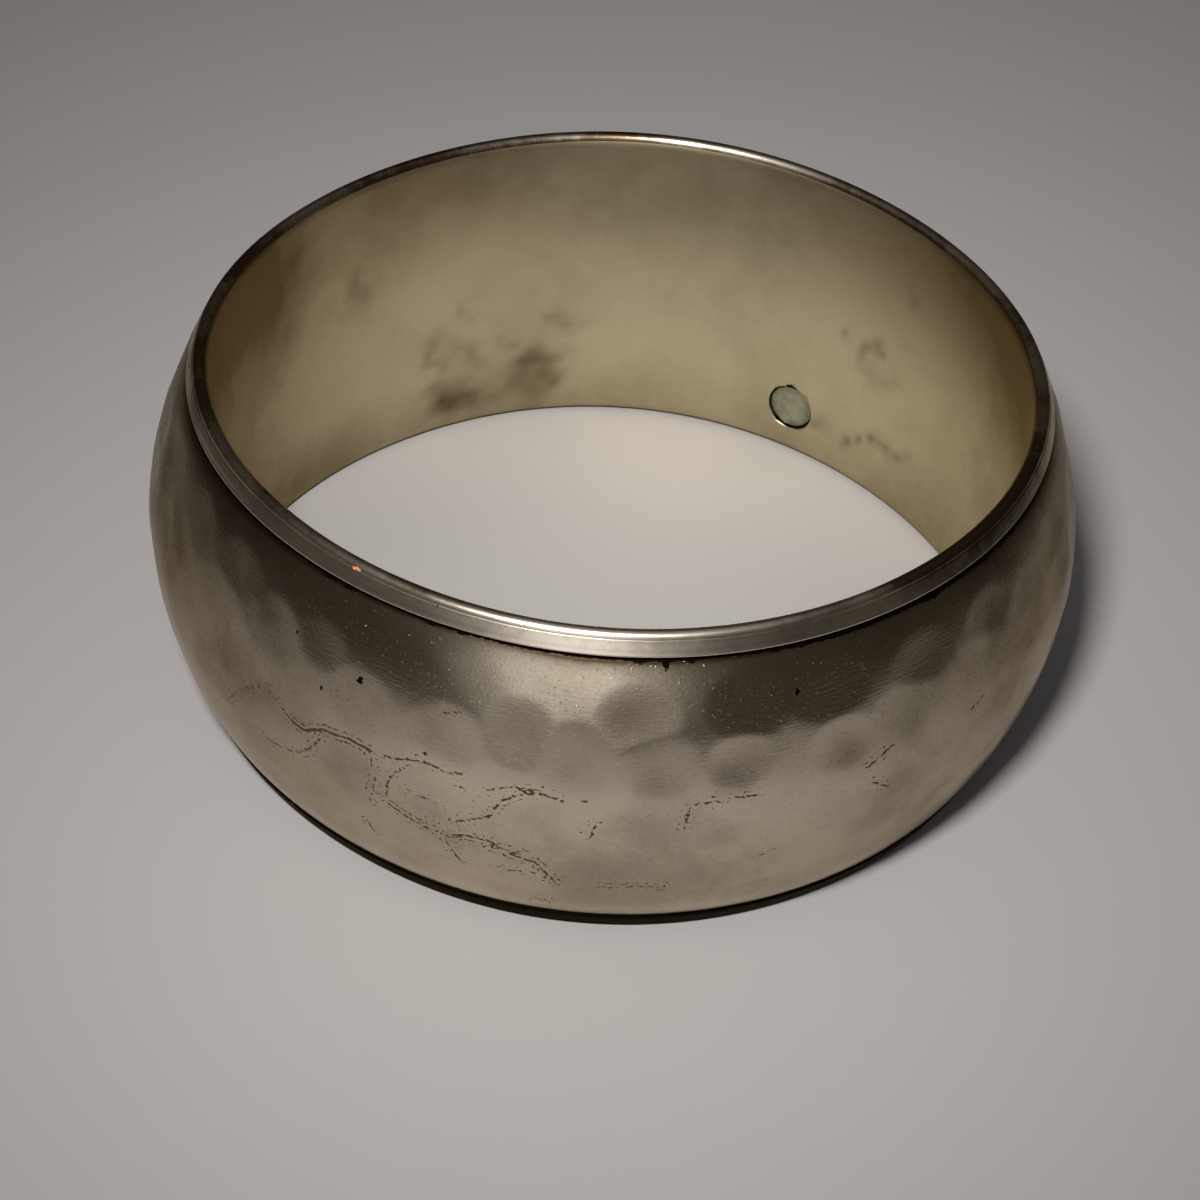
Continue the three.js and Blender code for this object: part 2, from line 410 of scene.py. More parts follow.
# Pits full of black dirt. Each spot here and below has its angle, height, radius and strength.
SHELL_PITS = [
    Spot(-29, 21.6, 0.42, 0.95),
    Spot(23.3, 24.3, 0.5, 0.85),
    Spot(-39, 22.6, 0.25),
    Spot(-34, 19.5, 0.26),
    Spot(-31.8, 19.8, 0.22),
    Spot(-23, 19.7, 0.2),
    Spot(-19.6, 17.8, 0.3, 0.8),
    Spot(-18.3, 18.5, 0.2),
    Spot(22, 5.7, 0.2),
    Spot(-1, 16.6, 0.2),
    Spot(141, 19.0, 0.4),
    Spot(-104, 22.5, 0.35),
]

# Brown film in some blows and beside them, dark enough to be mostly painted shade: it stands
# for the dark reflections in the upturned lower parts of the blows.
SHELL_BLOW_SHADE = [
    Spot(-9, 21.9, 2.2, 0.1),
    Spot(3.8, 23.1, 3.0, 0.34),
    Spot(-3.2, 26.0, 3.4, 0.2),
    Spot(-2.7, 18.6, 1.5, 0.14),
    Spot(6.2, 18.1, 1.3, 0.18),
    Spot(15.8, 18.3, 1.6, 0.16),
    Spot(22, 18.4, 2.0, 0.12),
    Spot(30, 17.9, 1.7, 0.2),
    Spot(39, 18.6, 2.0, 0.14),
    Spot(46, 21.5, 1.8, 0.14),
    Spot(-29.5, 13.6, 3.0, 0.14),
    Spot(-36, 22.8, 1.8, 0.15),
    Spot(-43, 22.6, 1.8, 0.12),
    Spot(-57, 23.7, 2.0, 0.15),
    Spot(-38, 18.2, 2.8, 0.15),
    Spot(59, 20.8, 4.0, 0.13),
]

# Black dirt packed into the seam: the places where it spills over onto the dome.
SEAM_DIRT = [
    Spot(-36.5, 27.2, 0.6, 0.5),
    Spot(-33.5, 27.3, 0.5, 0.42),
    Spot(-21.5, 27.3, 0.5, 0.5),
    Spot(-17.5, 27.2, 0.4, 0.48),
    Spot(4.5, 27.3, 0.6, 0.5),
    Spot(7.6, 27.1, 0.5, 0.75),
    Spot(10.5, 27.3, 0.4, 0.5),
    Spot(44, 27.3, 0.9, 0.5),
    Spot(-120, 27.3, 0.8, 0.5),
    Spot(155, 27.3, 0.7, 0.5),
]

# Soft stains inside the wrist opening, where sweat and soap dried.
LINING_TRAILS = [
    Trail(((-148.1, 11), (-147.3, 9.8), (-147.3, 8.4), (-147.8, 7.1)), spread=1.0, strength=0.26),
    Trail(((-153.5, 9.2), (-154.6, 7.8), (-154.7, 6.4)), spread=1.0, strength=0.18),
    Trail(((-149.7, 4.5), (-151, 3), (-154.5, 3)), spread=1.4, strength=0.26),
    Trail(((-169, 3.4), (-168.3, 5.8), (-166.2, 6.4), (-163.5, 5.8)), spread=1.0, strength=0.3),
    Trail(((-170.5, 10.2), (-168.5, 10.4)), spread=0.9, strength=0.26),
    Trail(((140, 13.4), (139, 14.3), (135.5, 15.4)), spread=0.6, strength=0.36),
    Trail(((139.3, 12.2), (131.3, 13.4)), spread=0.7, strength=0.2),
    Trail(((139.5, 4.3), (136, 5.9), (132.1, 6.7)), spread=0.55, strength=0.4),
    Trail(((131, 6), (127.6, 6.3)), spread=0.5, strength=0.3),
    Trail(((60, 6), (72, 9)), spread=1.2, strength=0.25),
    Trail(((-30, 9), (-22, 6)), spread=1.4, strength=0.25),
]

# Rounder stains on the same wall.
LINING_SPOTS = [
    Spot(-164.5, 3.6, 2.9, 0.4),
    Spot(-160, 2.8, 2.2, 0.22),
    Spot(-151, 8.2, 2.3, 0.14),
    Spot(-151.5, 3.4, 2.2, 0.3),
    Spot(-173.5, 9.4, 0.8, 0.2),
    Spot(-160.8, 8.3, 0.9, 0.22),
    Spot(-152.3, 12.2, 0.7, 0.22),
    Spot(142.2, 15.4, 0.7, 0.35),
    Spot(145.2, 4.4, 0.8, 0.4),
    Spot(131.3, 22.2, 0.6, 0.25),
    Spot(-133, 19, 1.3, 0.2),
    Spot(-158, 25.5, 4.0, 0.12),
    Spot(-118, 23, 5.0, 0.25),
]

# Marks on the upper collar: bare copper showing, a nick, and places rubbed bright.
COLLAR_COPPER = Trail(((-33.3, 28.94), (-32.6, 28.92)), spread=0.1, strength=1.25)
COLLAR_NICK = Spot(angle=-21.1, height=28.8, radius=0.3)
COLLAR_RUBBED = [
    Spot(33.4, 28.7, 0.8),
    Spot(-33, 28.4, 3.5, 0.5),
]


@dataclass(frozen=True)
class WallPoints:
    """Points on the walls of a ring, by angle, height and radius."""

    form: RingForm
    angle: np.ndarray
    height: np.ndarray
    radius: np.ndarray

    @classmethod
    def of_mesh(cls, form: RingForm, mesh: Mesh) -> "WallPoints":
        """Reads where a mesh's vertices are.

        Args:
            form: The ring's form.
            mesh: The mesh, in metres.

        Returns:
            One point for each vertex.
        """
        flat = np.zeros(len(mesh.vertices) * 3, dtype=np.float32)
        mesh.vertices.foreach_get("co", flat)
        across, deep, up = (flat.reshape(-1, 3) / MM).T.astype(float)
        return cls(form, np.degrees(np.arctan2(across, -deep)), up, np.hypot(across, deep))

    @property
    def out(self) -> np.ndarray:
        """How far the points are out from the bore."""
        return self.radius / self.form.roundness(self.angle) - self.form.bore_radius

    @property
    def drop(self) -> np.ndarray:
        """How far the points are from the nearer end of the ring."""
        return np.minimum(self.height, self.form.height - self.height)

    def away(self, spot: Spot) -> np.ndarray:
        """Measures the distance from a spot, along the wall."""
        turn = wrapped(self.angle - spot.angle)
        return np.hypot(np.radians(turn) * self.form.seam_radius, self.height - spot.height)

    def spots(self, spots: list[Spot]) -> np.ndarray:
        """Marks soft round spots.

        Args:
            spots: The spots to mark.

        Returns:
            How strong they are at each point, from 0 to 1.
        """
        mask = np.zeros_like(self.angle)
        for spot in spots:
            mask = np.maximum(mask, spot.strength * np.exp(-(self.away(spot) / spot.radius) ** 2))
        return mask

    def trail_gap(self, trail: Trail, turned: float = 0.0) -> np.ndarray:
        """Measures the distance from a trail, along the wall.

        Args:
            trail: The trail to measure from.
            turned: How far round the ring the trail is moved.

        Returns:
            The distance of each point, below zero to the right of the trail.
        """
        arc = math.radians(1) * self.form.seam_radius
        nearest = np.full_like(self.angle, np.inf)
        for (angle_1, height_1), (angle_2, height_2) in zip(trail.places, trail.places[1:]):
            run = np.array([(angle_2 - angle_1) * arc, height_2 - height_1])
            across = wrapped(self.angle - angle_1 - turned) * arc
            up = self.height - height_1
            share = np.clip((across * run[0] + up * run[1]) / (run @ run), 0, 1)
            away = np.hypot(across - share * run[0], up - share * run[1])
            side = np.where(run[0] * up < run[1] * across, -1.0, 1.0)
            nearest = np.where(away < np.abs(nearest), side * away, nearest)
        return nearest

    def strands(self, laid: list[tuple[Trail, float, float]]) -> tuple[np.ndarray, np.ndarray]:
        """Lays trails out for the finish to draw as thin strands.

        Args:
            laid: Each trail, how far round the ring it is moved, and the share of its strength.

        Returns:
            Each point's distance from its nearest trail, and how strong the stain is there.
        """
        nearest = np.full_like(self.angle, np.inf)
        strength = np.zeros_like(self.angle)
        for trail, turned, share in laid:
            gap = self.trail_gap(trail, turned)
            closer = np.abs(gap) < np.abs(nearest)
            nearest = np.where(closer, gap, nearest)
            reach = Streak(share * trail.strength, middle=0, spread=trail.spread + STRAND_REACH_MM)
            strength = np.where(closer, reach.at(gap), strength)
        return np.clip(nearest, -STRAND_NONE_MM, STRAND_NONE_MM), strength


# ---- meshes
# The corners of a quad, as steps to the next row and along it.
QUAD_CORNERS = ((0, 0), (0, 1), (1, 1), (1, 0))
# The UV map that gives places on the unrolled sheet, in millimetres.
SHEET_MAP = "unrolled_mm"


def ring_faces(rows: int, turns: int, closed: bool) -> np.ndarray:
    """Lists the quads between rows of points that run round a ring.

    Args:
        rows: How many rows of points there are.
        turns: How many points a row has.
        closed: Whether the last row joins the first one.

    Returns:
        The four corners of each quad.
    """
    row, turn = np.meshgrid(np.arange(rows if closed else rows - 1), np.arange(turns), indexing="ij")
    return np.stack(
        [((row + up) % rows) * turns + (turn + along) % turns for up, along in QUAD_CORNERS], axis=-1
    ).reshape(-1, 4)


def ring_spots(
    angle: np.ndarray, height: np.ndarray, radius: np.ndarray | float
) -> list[list[float]]:
    """Places points round the ring's axis.

    Args:
        angle: Their angles.
        height: Their heights.
        radius: Their radii.

    Returns:
        Their coordinates, in metres.
    """
    turn = np.radians(angle)
    spots = np.stack([radius * np.sin(turn), -radius * np.cos(turn), height], axis=-1)
    return (spots * MM).reshape(-1, 3).tolist()


def ring_mesh(
    name: str, profile: np.ndarray, angle: np.ndarray, height: np.ndarray, radius: np.ndarray,
    sheet_radius: float,
) -> Mesh:
    """Makes a closed wall round the ring, with its unrolled sheet as the UV map.

    Args:
        name: The mesh's name.
        profile: The radius and height of each step of the smooth profile, as two rows. It runs up
            the outside and down the inside.
        angle: Where each point lies, in an array of profile steps by turns: its angle.
        height: Its height.
        radius: Its radius.
        sheet_radius: The radius at which the sheet is as long as the ring is round.

    Returns:
        The mesh, in metres.
    """
    steps, turns = angle.shape
    faces = ring_faces(steps, turns, closed=True)
    mesh = bpy.data.meshes.new(name)
    mesh.from_pydata(ring_spots(angle, height, radius), [], faces.tolist())

    lengths = np.hypot(*np.diff(profile, append=profile[:, :1]))
    up_sheet = np.concatenate([[0.0], np.cumsum(lengths)])
    round_sheet = np.linspace(0, 2 * np.pi * sheet_radius, turns + 1)
    sheet = np.stack(np.meshgrid(round_sheet, up_sheet), axis=-1)
    corners = [sheet[up:up + steps, along:along + turns] for up, along in QUAD_CORNERS]
    layer = mesh.uv_layers.new(name=SHEET_MAP)
    layer.uv.foreach_set("vector", np.stack(corners, axis=2).astype(np.float32).ravel())
    return mesh


class Mark(Enum):
    """What is painted on a mesh, vertex by vertex, for its finish to read."""

    # Film also carries painted shade and light, and crust the painted shade at the foot and vent.
    FILM = "film"
    STAIN = "stain"
    CRUST = "crust"
    STRAND_GAP = "strand_gap"
    STRAND_STRENGTH = "strand_strength"
    CARD = "card"


def paint(mesh: Mesh, marks: dict[Mark, np.ndarray]) -> None:
    """Stores numbers for each vertex.

    Args:
        mesh: The mesh.
        marks: The number of each vertex, for each mark.
    """
    for mark, values in marks.items():
        attribute = mesh.attributes.new(name=mark.value, type="FLOAT", domain="POINT")
        attribute.data.foreach_set("value", values.astype(np.float32))


def add_object(name: str, data: ID) -> Object:
    """Puts a mesh, a light or a camera in the scene.

    Args:
        name: The object's name.
        data: What it shows.

    Returns:
        The new object.
    """
    added = bpy.data.objects.new(name, data)
    bpy.context.scene.collection.objects.link(added)
    return added


def add_piece(name: str, mesh: Mesh, crease: float = 35.0) -> Object:
    """Puts a smooth-shaded mesh in the scene.

    Args:
        name: The piece's name.
        mesh: Its mesh.
        crease: Edges that turn by more than this many degrees stay crisp.

    Returns:
        The new object.
    """
    mesh.shade_smooth()
    mesh.set_sharp_from_angle(angle=math.radians(crease))
    return add_object(name, mesh)


# ---- finishes
class Mix(Enum):
    """Sockets of a colour Mix node, which share their names."""

    FACTOR = 0
    FIRST = 6
    SECOND = 7
    RESULT = 2


def add_node(
    tree: NodeTree, kind: str, inputs: dict[Enum | str | int, object], **settings: object
) -> Node:
    """Adds a shader node, with what goes into it and its settings.

    Args:
        tree: The node tree.
        kind: The node's type, without the ShaderNode that all their names start with.
        inputs: What each input gets, by name or number: a node, whose first output is linked, a
            socket, or a value.
        settings: The node's properties.

    Returns:
        The node.
    """
    node = tree.nodes.new("ShaderNode" + kind)
    for name, setting in settings.items():
        setattr(node, name, setting)
    for key, value in inputs.items():
        socket = node.inputs[key.value if isinstance(key, Enum) else key]
        if isinstance(value, Node):
            value = value.outputs[0]
        if isinstance(value, NodeSocket):
            tree.links.new(value, socket)
        else:
            socket.default_value = value
    return node


# A dash's height over its length along the ring, and how much coarser than a dash the ragged edge
# of crust is.
DASH_SHAPE = 0.6
CRUST_RAGGED = 1.8
# How far mottling breaks up the clouds of film, and painted stain breaks out between the dashes.
MOTTLE_IN_CLOUDS = 0.45
STAIN_IN_DASHES = 0.45
# Where textures and paint add up to a mark: the sum at which it starts, and where it is full.
CLOUD_EDGE = (0.55, 0.95)
STAIN_EDGE = (0.84, 0.9)
CRUST_EDGE = (0.95, 1.1)
# The grain at which a point starts to spark and is highest, and its height in scratch depths.
SPARK_EDGE = (0.645, 0.78)
SPARK_HEIGHT = 1.5
# Dirt is as rough as this, and leaves this much of the metal's shine.
DIRT_ROUGHNESS = 0.6
SHINE_UNDER_STAIN = 0.4


@dataclass(frozen=True)
class SilverFinish:
    """Old sterling silver. Its fields are what differs between the worked surfaces.

    Silver keeps the default IOR of a metal, and its colour carries the thin sulphide film
    that turns it from white to straw, then to brown. The film and crust painted on the
    pieces also carry painted shade and painted light.
    """

    name: str
    clean: str
    filmed: str
    stain: str
    crust: str
    edge_tint: str
    roughness: float
    film_roughness: float
    film_share: float
    cloud_mm: float
    mottle_mm: float
    scratch_long_mm: float
    scratch_wide_mm: float
    scratch_depth_mm: float
    grain_mm: float
    grain_share: float
    grain_film: float
    speck_mm: float

    def make(self) -> Material:
        """Makes the material, which reads what is painted on the mesh under the names in Mark.

        Returns:
            The material.
        """
        material = bpy.data.materials.new(self.name)
        material.use_nodes = True
        tree = material.node_tree
        place = add_node(tree, "TexCoord", {}).outputs["Object"]
        sheet = add_node(tree, "UVMap", {}, uv_map=SHEET_MAP).outputs["UV"]
        mottle = add_node(tree, "TexNoise", {
            "Vector": place, "Scale": per(self.mottle_mm), "Detail": 3.0, "Roughness": 0.6,
        })
        # A grain of dust and tiny pits lies over all of it. The real one is too fine to show, so it
        # is drawn as coarse as it needs to be.
        grain = add_node(tree, "TexNoise", {
            "Vector": place, "Scale": per(self.grain_mm), "Detail": 2.0, "Roughness": 0.65,
        })
        film = self.add_film(tree, place, mottle, grain)
        stained = self.add_stain(tree, sheet, mottle, grain)
        crusted = self.add_crust(tree, place)
        relief = self.add_relief(tree, sheet, grain)

        filmed = add_node(tree, "Mix", {
            Mix.FACTOR: film, Mix.FIRST: linear(self.clean), Mix.SECOND: linear(self.filmed),
        }, data_type="RGBA")
        stain_colour = add_node(tree, "Mix", {
            Mix.FACTOR: stained, Mix.FIRST: filmed.outputs[Mix.RESULT.value],
            Mix.SECOND: linear(self.stain),
        }, data_type="RGBA")
        colour = add_node(tree, "Mix", {
            Mix.FACTOR: crusted, Mix.FIRST: stain_colour.outputs[Mix.RESULT.value],
            Mix.SECOND: linear(self.crust),
        }, data_type="RGBA")
        # Film dulls the polish a little, and stains are dull and no longer bare metal.
        film_dulled = add_node(tree, "MapRange", {
            "Value": film, "To Min": self.roughness, "To Max": self.film_roughness,
        })
        dirt = add_node(tree, "Math", {0: stained, 1: crusted}, operation="MAXIMUM")
        dulled = add_node(tree, "MapRange", {
            "Value": dirt, "To Min": film_dulled, "To Max": DIRT_ROUGHNESS,
        })
        metal_left = add_node(tree, "MapRange", {
            "Value": stained, "To Min": 1.0, "To Max": SHINE_UNDER_STAIN,
        })
        bump = add_node(tree, "Bump", {
            "Height": relief, "Strength": 1.0, "Distance": self.scratch_depth_mm * MM,
        })
        shader = tree.nodes["Principled BSDF"]
        shader.inputs["Specular Tint"].default_value = linear(self.edge_tint)
        tree.links.new(colour.outputs[Mix.RESULT.value], shader.inputs["Base Color"])
        tree.links.new(metal_left.outputs[0], shader.inputs["Metallic"])
        tree.links.new(dulled.outputs[0], shader.inputs["Roughness"])
        tree.links.new(bump.outputs[0], shader.inputs["Normal"])
        return material

    def add_film(self, tree: NodeTree, place: NodeSocket, mottle: Node, grain: Node) -> Node:
        """Adds the sulphide film, which gathers in soft clouds, finer mottling and grain, to the film
        painted on the mesh, which also carries painted shade and painted light.

        Args:
            tree: The node tree.
            place: Places on the piece, in metres.
            mottle: The mottling.
            grain: The grain.

        Returns:
            The node that gives how much film there is.
        """
        painted = add_node(tree, "Attribute", {}, attribute_name=Mark.FILM.value)
        clouds = add_node(tree, "TexNoise", {
            "Vector": place, "Scale": per(self.cloud_mm), "Detail": 1.0, "Roughness": 0.55,
        })
        cloudiness = add_node(tree, "Math", {
            0: mottle, 1: MOTTLE_IN_CLOUDS, 2: clouds,
        }, operation="MULTIPLY_ADD")
        cloud_film = add_node(tree, "MapRange", {
            "Value": cloudiness, "From Min": CLOUD_EDGE[0], "From Max": CLOUD_EDGE[1],
            "To Min": 0.0, "To Max": self.film_share,
        }, interpolation_type="SMOOTHSTEP")
        grain_film = add_node(tree, "Math", {
            0: grain, 1: self.grain_film, 2: cloud_film,
        }, operation="MULTIPLY_ADD")
        return add_node(tree, "Math", {
            0: grain_film, 1: painted.outputs["Fac"],
        }, operation="ADD", use_clamp=True)

    def add_stain(self, tree: NodeTree, sheet: NodeSocket, mottle: Node, grain: Node) -> Node:
        """Adds stains, which run in thin strands that wander and break up into short dashes.

        Args:
            tree: The node tree.
            sheet: Places on the unrolled sheet, in millimetres.
            mottle: The mottling, which makes the strands wander.
            grain: The grain, which frays them.

        Returns:
            The node that gives where the metal is stained.
        """
        painted, strand_gap, strand_strength = (
            add_node(tree, "Attribute", {}, attribute_name=mark.value).outputs["Fac"]
            for mark in (Mark.STAIN, Mark.STRAND_GAP, Mark.STRAND_STRENGTH)
        )
        wandered = add_node(tree, "Math", {
            0: mottle, 1: STRAND_WANDER_MM, 2: strand_gap,
        }, operation="MULTIPLY_ADD")
        frayed = add_node(tree, "Math", {
            0: grain, 1: STRAND_FRAY_MM, 2: wandered,
        }, operation="MULTIPLY_ADD")
        middle_gap = add_node(tree, "Math", {0: frayed, 1: STRAND_APART_MM / 2}, operation="PINGPONG")
        strand = add_node(tree, "MapRange", {
            "Value": middle_gap, "From Min": STRAND_HALF_MM, "From Max": STRAND_CORE_MM,
        }, interpolation_type="SMOOTHSTEP")
        strand_stain = add_node(tree, "Math", {0: strand, 1: strand_strength}, operation="MULTIPLY")
        stain = add_node(tree, "Math", {0: strand_stain, 1: painted}, operation="MAXIMUM")
        dash_place = add_node(tree, "Mapping", {
            "Vector": sheet, "Scale": (DASH_SHAPE / self.speck_mm, 1 / self.speck_mm, 1.0),
        }, vector_type="POINT")
        dashes = add_node(tree, "TexNoise", {
            "Vector": dash_place, "Scale": 1.0, "Detail": 1.0, "Roughness": 0.6,
        })
        stain_edge = add_node(tree, "Math", {
            0: stain, 1: STAIN_IN_DASHES, 2: dashes,
        }, operation="MULTIPLY_ADD")
        return add_node(tree, "MapRange", {
            "Value": stain_edge, "From Min": STAIN_EDGE[0], "From Max": STAIN_EDGE[1],
        }, interpolation_type="SMOOTHSTEP")

    def add_crust(self, tree: NodeTree, place: NodeSocket) -> Node:
        """Adds black with a ragged edge: the crust that fills the pits and the seam, crust and painted
        shade in the vent hole, and painted shadow round the foot.

        Args:
            tree: The node tree.
            place: Places on the piece, in metres.

        Returns:
            The node that gives where the metal is crusted.
        """
        painted = add_node(tree, "Attribute", {}, attribute_name=Mark.CRUST.value)
        ragged = add_node(tree, "TexNoise", {
            "Vector": place, "Scale": per(CRUST_RAGGED * self.speck_mm), "Detail": 2.0, "Roughness": 0.7,
        })
        crust_edge = add_node(tree, "Math", {0: painted.outputs["Fac"], 1: ragged}, operation="ADD")
        return add_node(tree, "MapRange", {
            "Value": crust_edge, "From Min": CRUST_EDGE[0], "From Max": CRUST_EDGE[1],
        }, interpolation_type="SMOOTHSTEP")

    def add_relief(self, tree: NodeTree, sheet: NodeSocket, grain: Node) -> Node:
        """Adds the relief of wear: scratches round the ring, and grain whose sharpest points spark.

        Real scratches are a few hundredths of a millimetre wide, which is too fine to show, so
        they are drawn several times as wide.

        Args:
            tree: The node tree.
            sheet: Places on the unrolled sheet, in millimetres.
            grain: The grain.

        Returns:
            The node that gives the relief, in scratch depths.
        """
        scratch_place = add_node(tree, "Mapping", {
            "Vector": sheet, "Scale": (1 / self.scratch_long_mm, 1 / self.scratch_wide_mm, 1.0),
        }, vector_type="POINT")
        scratches = add_node(tree, "TexNoise", {
            "Vector": scratch_place, "Scale": 1.0, "Detail": 2.0, "Roughness": 0.7,
        })
        sparks = add_node(tree, "MapRange", {
            "Value": grain, "From Min": SPARK_EDGE[0], "From Max": SPARK_EDGE[1], "To Max": SPARK_HEIGHT,
        }, interpolation_type="SMOOTHSTEP")
        grain_relief = add_node(tree, "Math", {
            0: grain, 1: self.grain_share, 2: sparks,
        }, operation="MULTIPLY_ADD")
        return add_node(tree, "Math", {0: grain_relief, 1: scratches}, operation="ADD")


# Hammered and hand-polished sheet: a soft shine that shows each blow's facet, warm with film.
HAMMERED_SILVER = SilverFinish(
    name="sterling_silver_hammered_worn",
    clean="#DED3BF", filmed="#63543F", stain="#3F3119", crust="#0B0806", edge_tint="#EEE8DC",
    roughness=0.18, film_roughness=0.28, film_share=0.26,
    cloud_mm=11.0, mottle_mm=2.2,
    scratch_long_mm=1.6, scratch_wide_mm=0.22, scratch_depth_mm=0.009,
    grain_mm=0.24, grain_share=0.9, grain_film=0.32, speck_mm=0.23,
)

# Rolled and burnished edge: the brightest metal, rubbed by sleeves and hands. Its stain is the
# copper of the alloy, where the silver of its skin has worn through.
BURNISHED_SILVER = SilverFinish(
    name="sterling_silver_burnished_edge",
    clean="#E8DFD0", filmed="#5E4F3F", stain="#D9814F", crust="#0B0806", edge_tint="#E2D8C6",
    roughness=0.27, film_roughness=0.34, film_share=0.5,
    cloud_mm=7.0, mottle_mm=1.2,
    scratch_long_mm=2.5, scratch_wide_mm=0.15, scratch_depth_mm=0.003,
    grain_mm=0.25, grain_share=0.8, grain_film=0.42, speck_mm=0.3,
)

# Drawn sheet that was never polished inside: a dull satin with a yellow-grey film.
LINING_SILVER = SilverFinish(
    name="sterling_silver_satin_tarnished",
    clean="#E0D5B6", filmed="#6E5F42", stain="#4C4230", crust="#14110B", edge_tint="#F0E6D2",
    roughness=0.42, film_roughness=0.5, film_share=0.16,
    cloud_mm=13.0, mottle_mm=2.6,
    scratch_long_mm=4.0, scratch_wide_mm=0.2, scratch_depth_mm=0.002,
    grain_mm=0.5, grain_share=0.4, grain_film=0.08, speck_mm=0.5,
)

# Hard solder, filed and left to tarnish: matt, grey with a green cast.
SOLDER_SILVER = SilverFinish(
    name="silver_solder_filed_tarnished",
    clean="#AEAD98", filmed="#84866F", stain="#4A4A36", crust="#15170F", edge_tint="#F0E6D2",
    roughness=0.48, film_roughness=0.55, film_share=0.6,
    cloud_mm=1.6, mottle_mm=0.5,
    scratch_long_mm=0.6, scratch_wide_mm=0.12, scratch_depth_mm=0.004,
    grain_mm=0.3, grain_share=0.5, grain_film=0.1, speck_mm=0.3,
)


# ---- how age lies on the pieces
@dataclass(frozen=True)
class ShellAge:
    """Where film and crust lie on the shell, as shares from 0, clean, to 1, thickest.

    Each field is named for its place. Angles are in degrees from the front, and heights, depths
    and gaps from the cut edge in millimetres. Some of the film is painted shade and painted
    light, where noted below.
    """

    polished_off: float = 0.2
    film_per_depth: float = 0.6
    left: Fade = Fade(0.8, start=8, full=64)
    right: Fade = Fade(0.61, start=6, full=70)
    back: Fade = Fade(1.0, start=90, full=150)
    back_share: float = 0.2
    low_side_share: float = 0.4
    high_side: Fade = Fade(0.6, start=9, full=19)
    belly: Fade = Fade(0.3, start=19, full=9)
    foot_painted_light: Fade = Fade(0.9, start=5, full=2)
    near_edge: Fade = Fade(0.15, start=1.6, full=0)
    edge_line: Streak = Streak(0.9, middle=0, spread=0.25)
    edge_halo: Streak = Streak(0.3, middle=0, spread=0.7)
    halo_arc: Band = Band(1.0, start=-14, full=-4, fading=18, gone=30)
    shoulder: Band = Band(1.0, start=14, full=18, fading=20, gone=24)
    shoulder_share: float = 0.02
    rubbed_and_lit_front: Streak = Streak(0.3, middle=-3, spread=13)
    rubbed_left: Streak = Streak(0.2, middle=-49, spread=9)
    rubbed_left_height: Streak = Streak(1.0, middle=19, spread=3)
    far_right: Band = Band(0.3, start=64, full=80, fading=90, gone=120)
    pit_crust: float = 0.9
    seam_crust: float = 0.85
    seam_width: float = 0.13
    seam_packed: float = 0.2
    packed_arc: Band = Band(1.0, start=12, full=26, fading=60, gone=80)
    cleaned_arc: Band = Band(0.12, start=-24, full=-16, fading=1, gone=6)

    def film(self, points: WallPoints) -> np.ndarray:
        """Gives the film on the shell.

        Args:
            points: Points of the shell.

        Returns:
            The film at each of them.
        """
        angle, height = points.angle, points.height
        gap = points.form.edge_gap(height)
        back = self.back.at(np.abs(angle))
        # The film grows towards the sides, the back and far round to the right: partly real tarnish, and
        # partly painted shade for the light that falls off away from the front.
        sides = (self.left.at(-angle) + self.right.at(angle)) * (1 - back) + self.back_share * back
        film = self.film_per_depth * points.form.dent_depth(angle, height) - self.polished_off
        film += sides * (self.low_side_share + self.high_side.at(height))
        # Lower down the film thickens, and near the foot it thins again as painted light, which narrows
        # the dark band that the dome's underside mirrors.
        film += self.belly.at(height) - self.belly.strength * self.foot_painted_light.at(height)
        film += self.near_edge.at(gap) + self.edge_line.at(gap)
        film += self.edge_halo.at(gap) * self.halo_arc.at(angle)
        # In the shoulder band the film is taken off at the front: partly real wear, and partly painted
        # light that brightens the middle of the front.
        film += (self.shoulder_share - self.rubbed_and_lit_front.at(angle)) * self.shoulder.at(height)
        film -= self.rubbed_left.at(angle) * self.rubbed_left_height.at(height)
        # The spots in and beside the blows add painted shade.
        return film + self.far_right.at(angle) + points.spots(SHELL_BLOW_SHADE)

    def crust(self, points: WallPoints) -> np.ndarray:
        """Gives the black crust of the pits and the seam.

        Args:
            points: Points of the shell.

        Returns:
            The crust at each of them.
        """
        form, angle = points.form, points.angle
        upper = points.height > form.middle
        packed = self.packed_arc.at(angle) * upper
        cleaned = self.cleaned_arc.at(angle) * upper
        seam = (self.seam_crust - cleaned) * np.exp(
            -(form.edge_gap(points.height) / (self.seam_width + self.seam_packed * packed)) ** 2
        )
        seam += points.spots(SEAM_DIRT)
        return np.maximum(self.pit_crust * points.spots(SHELL_PITS), seam)


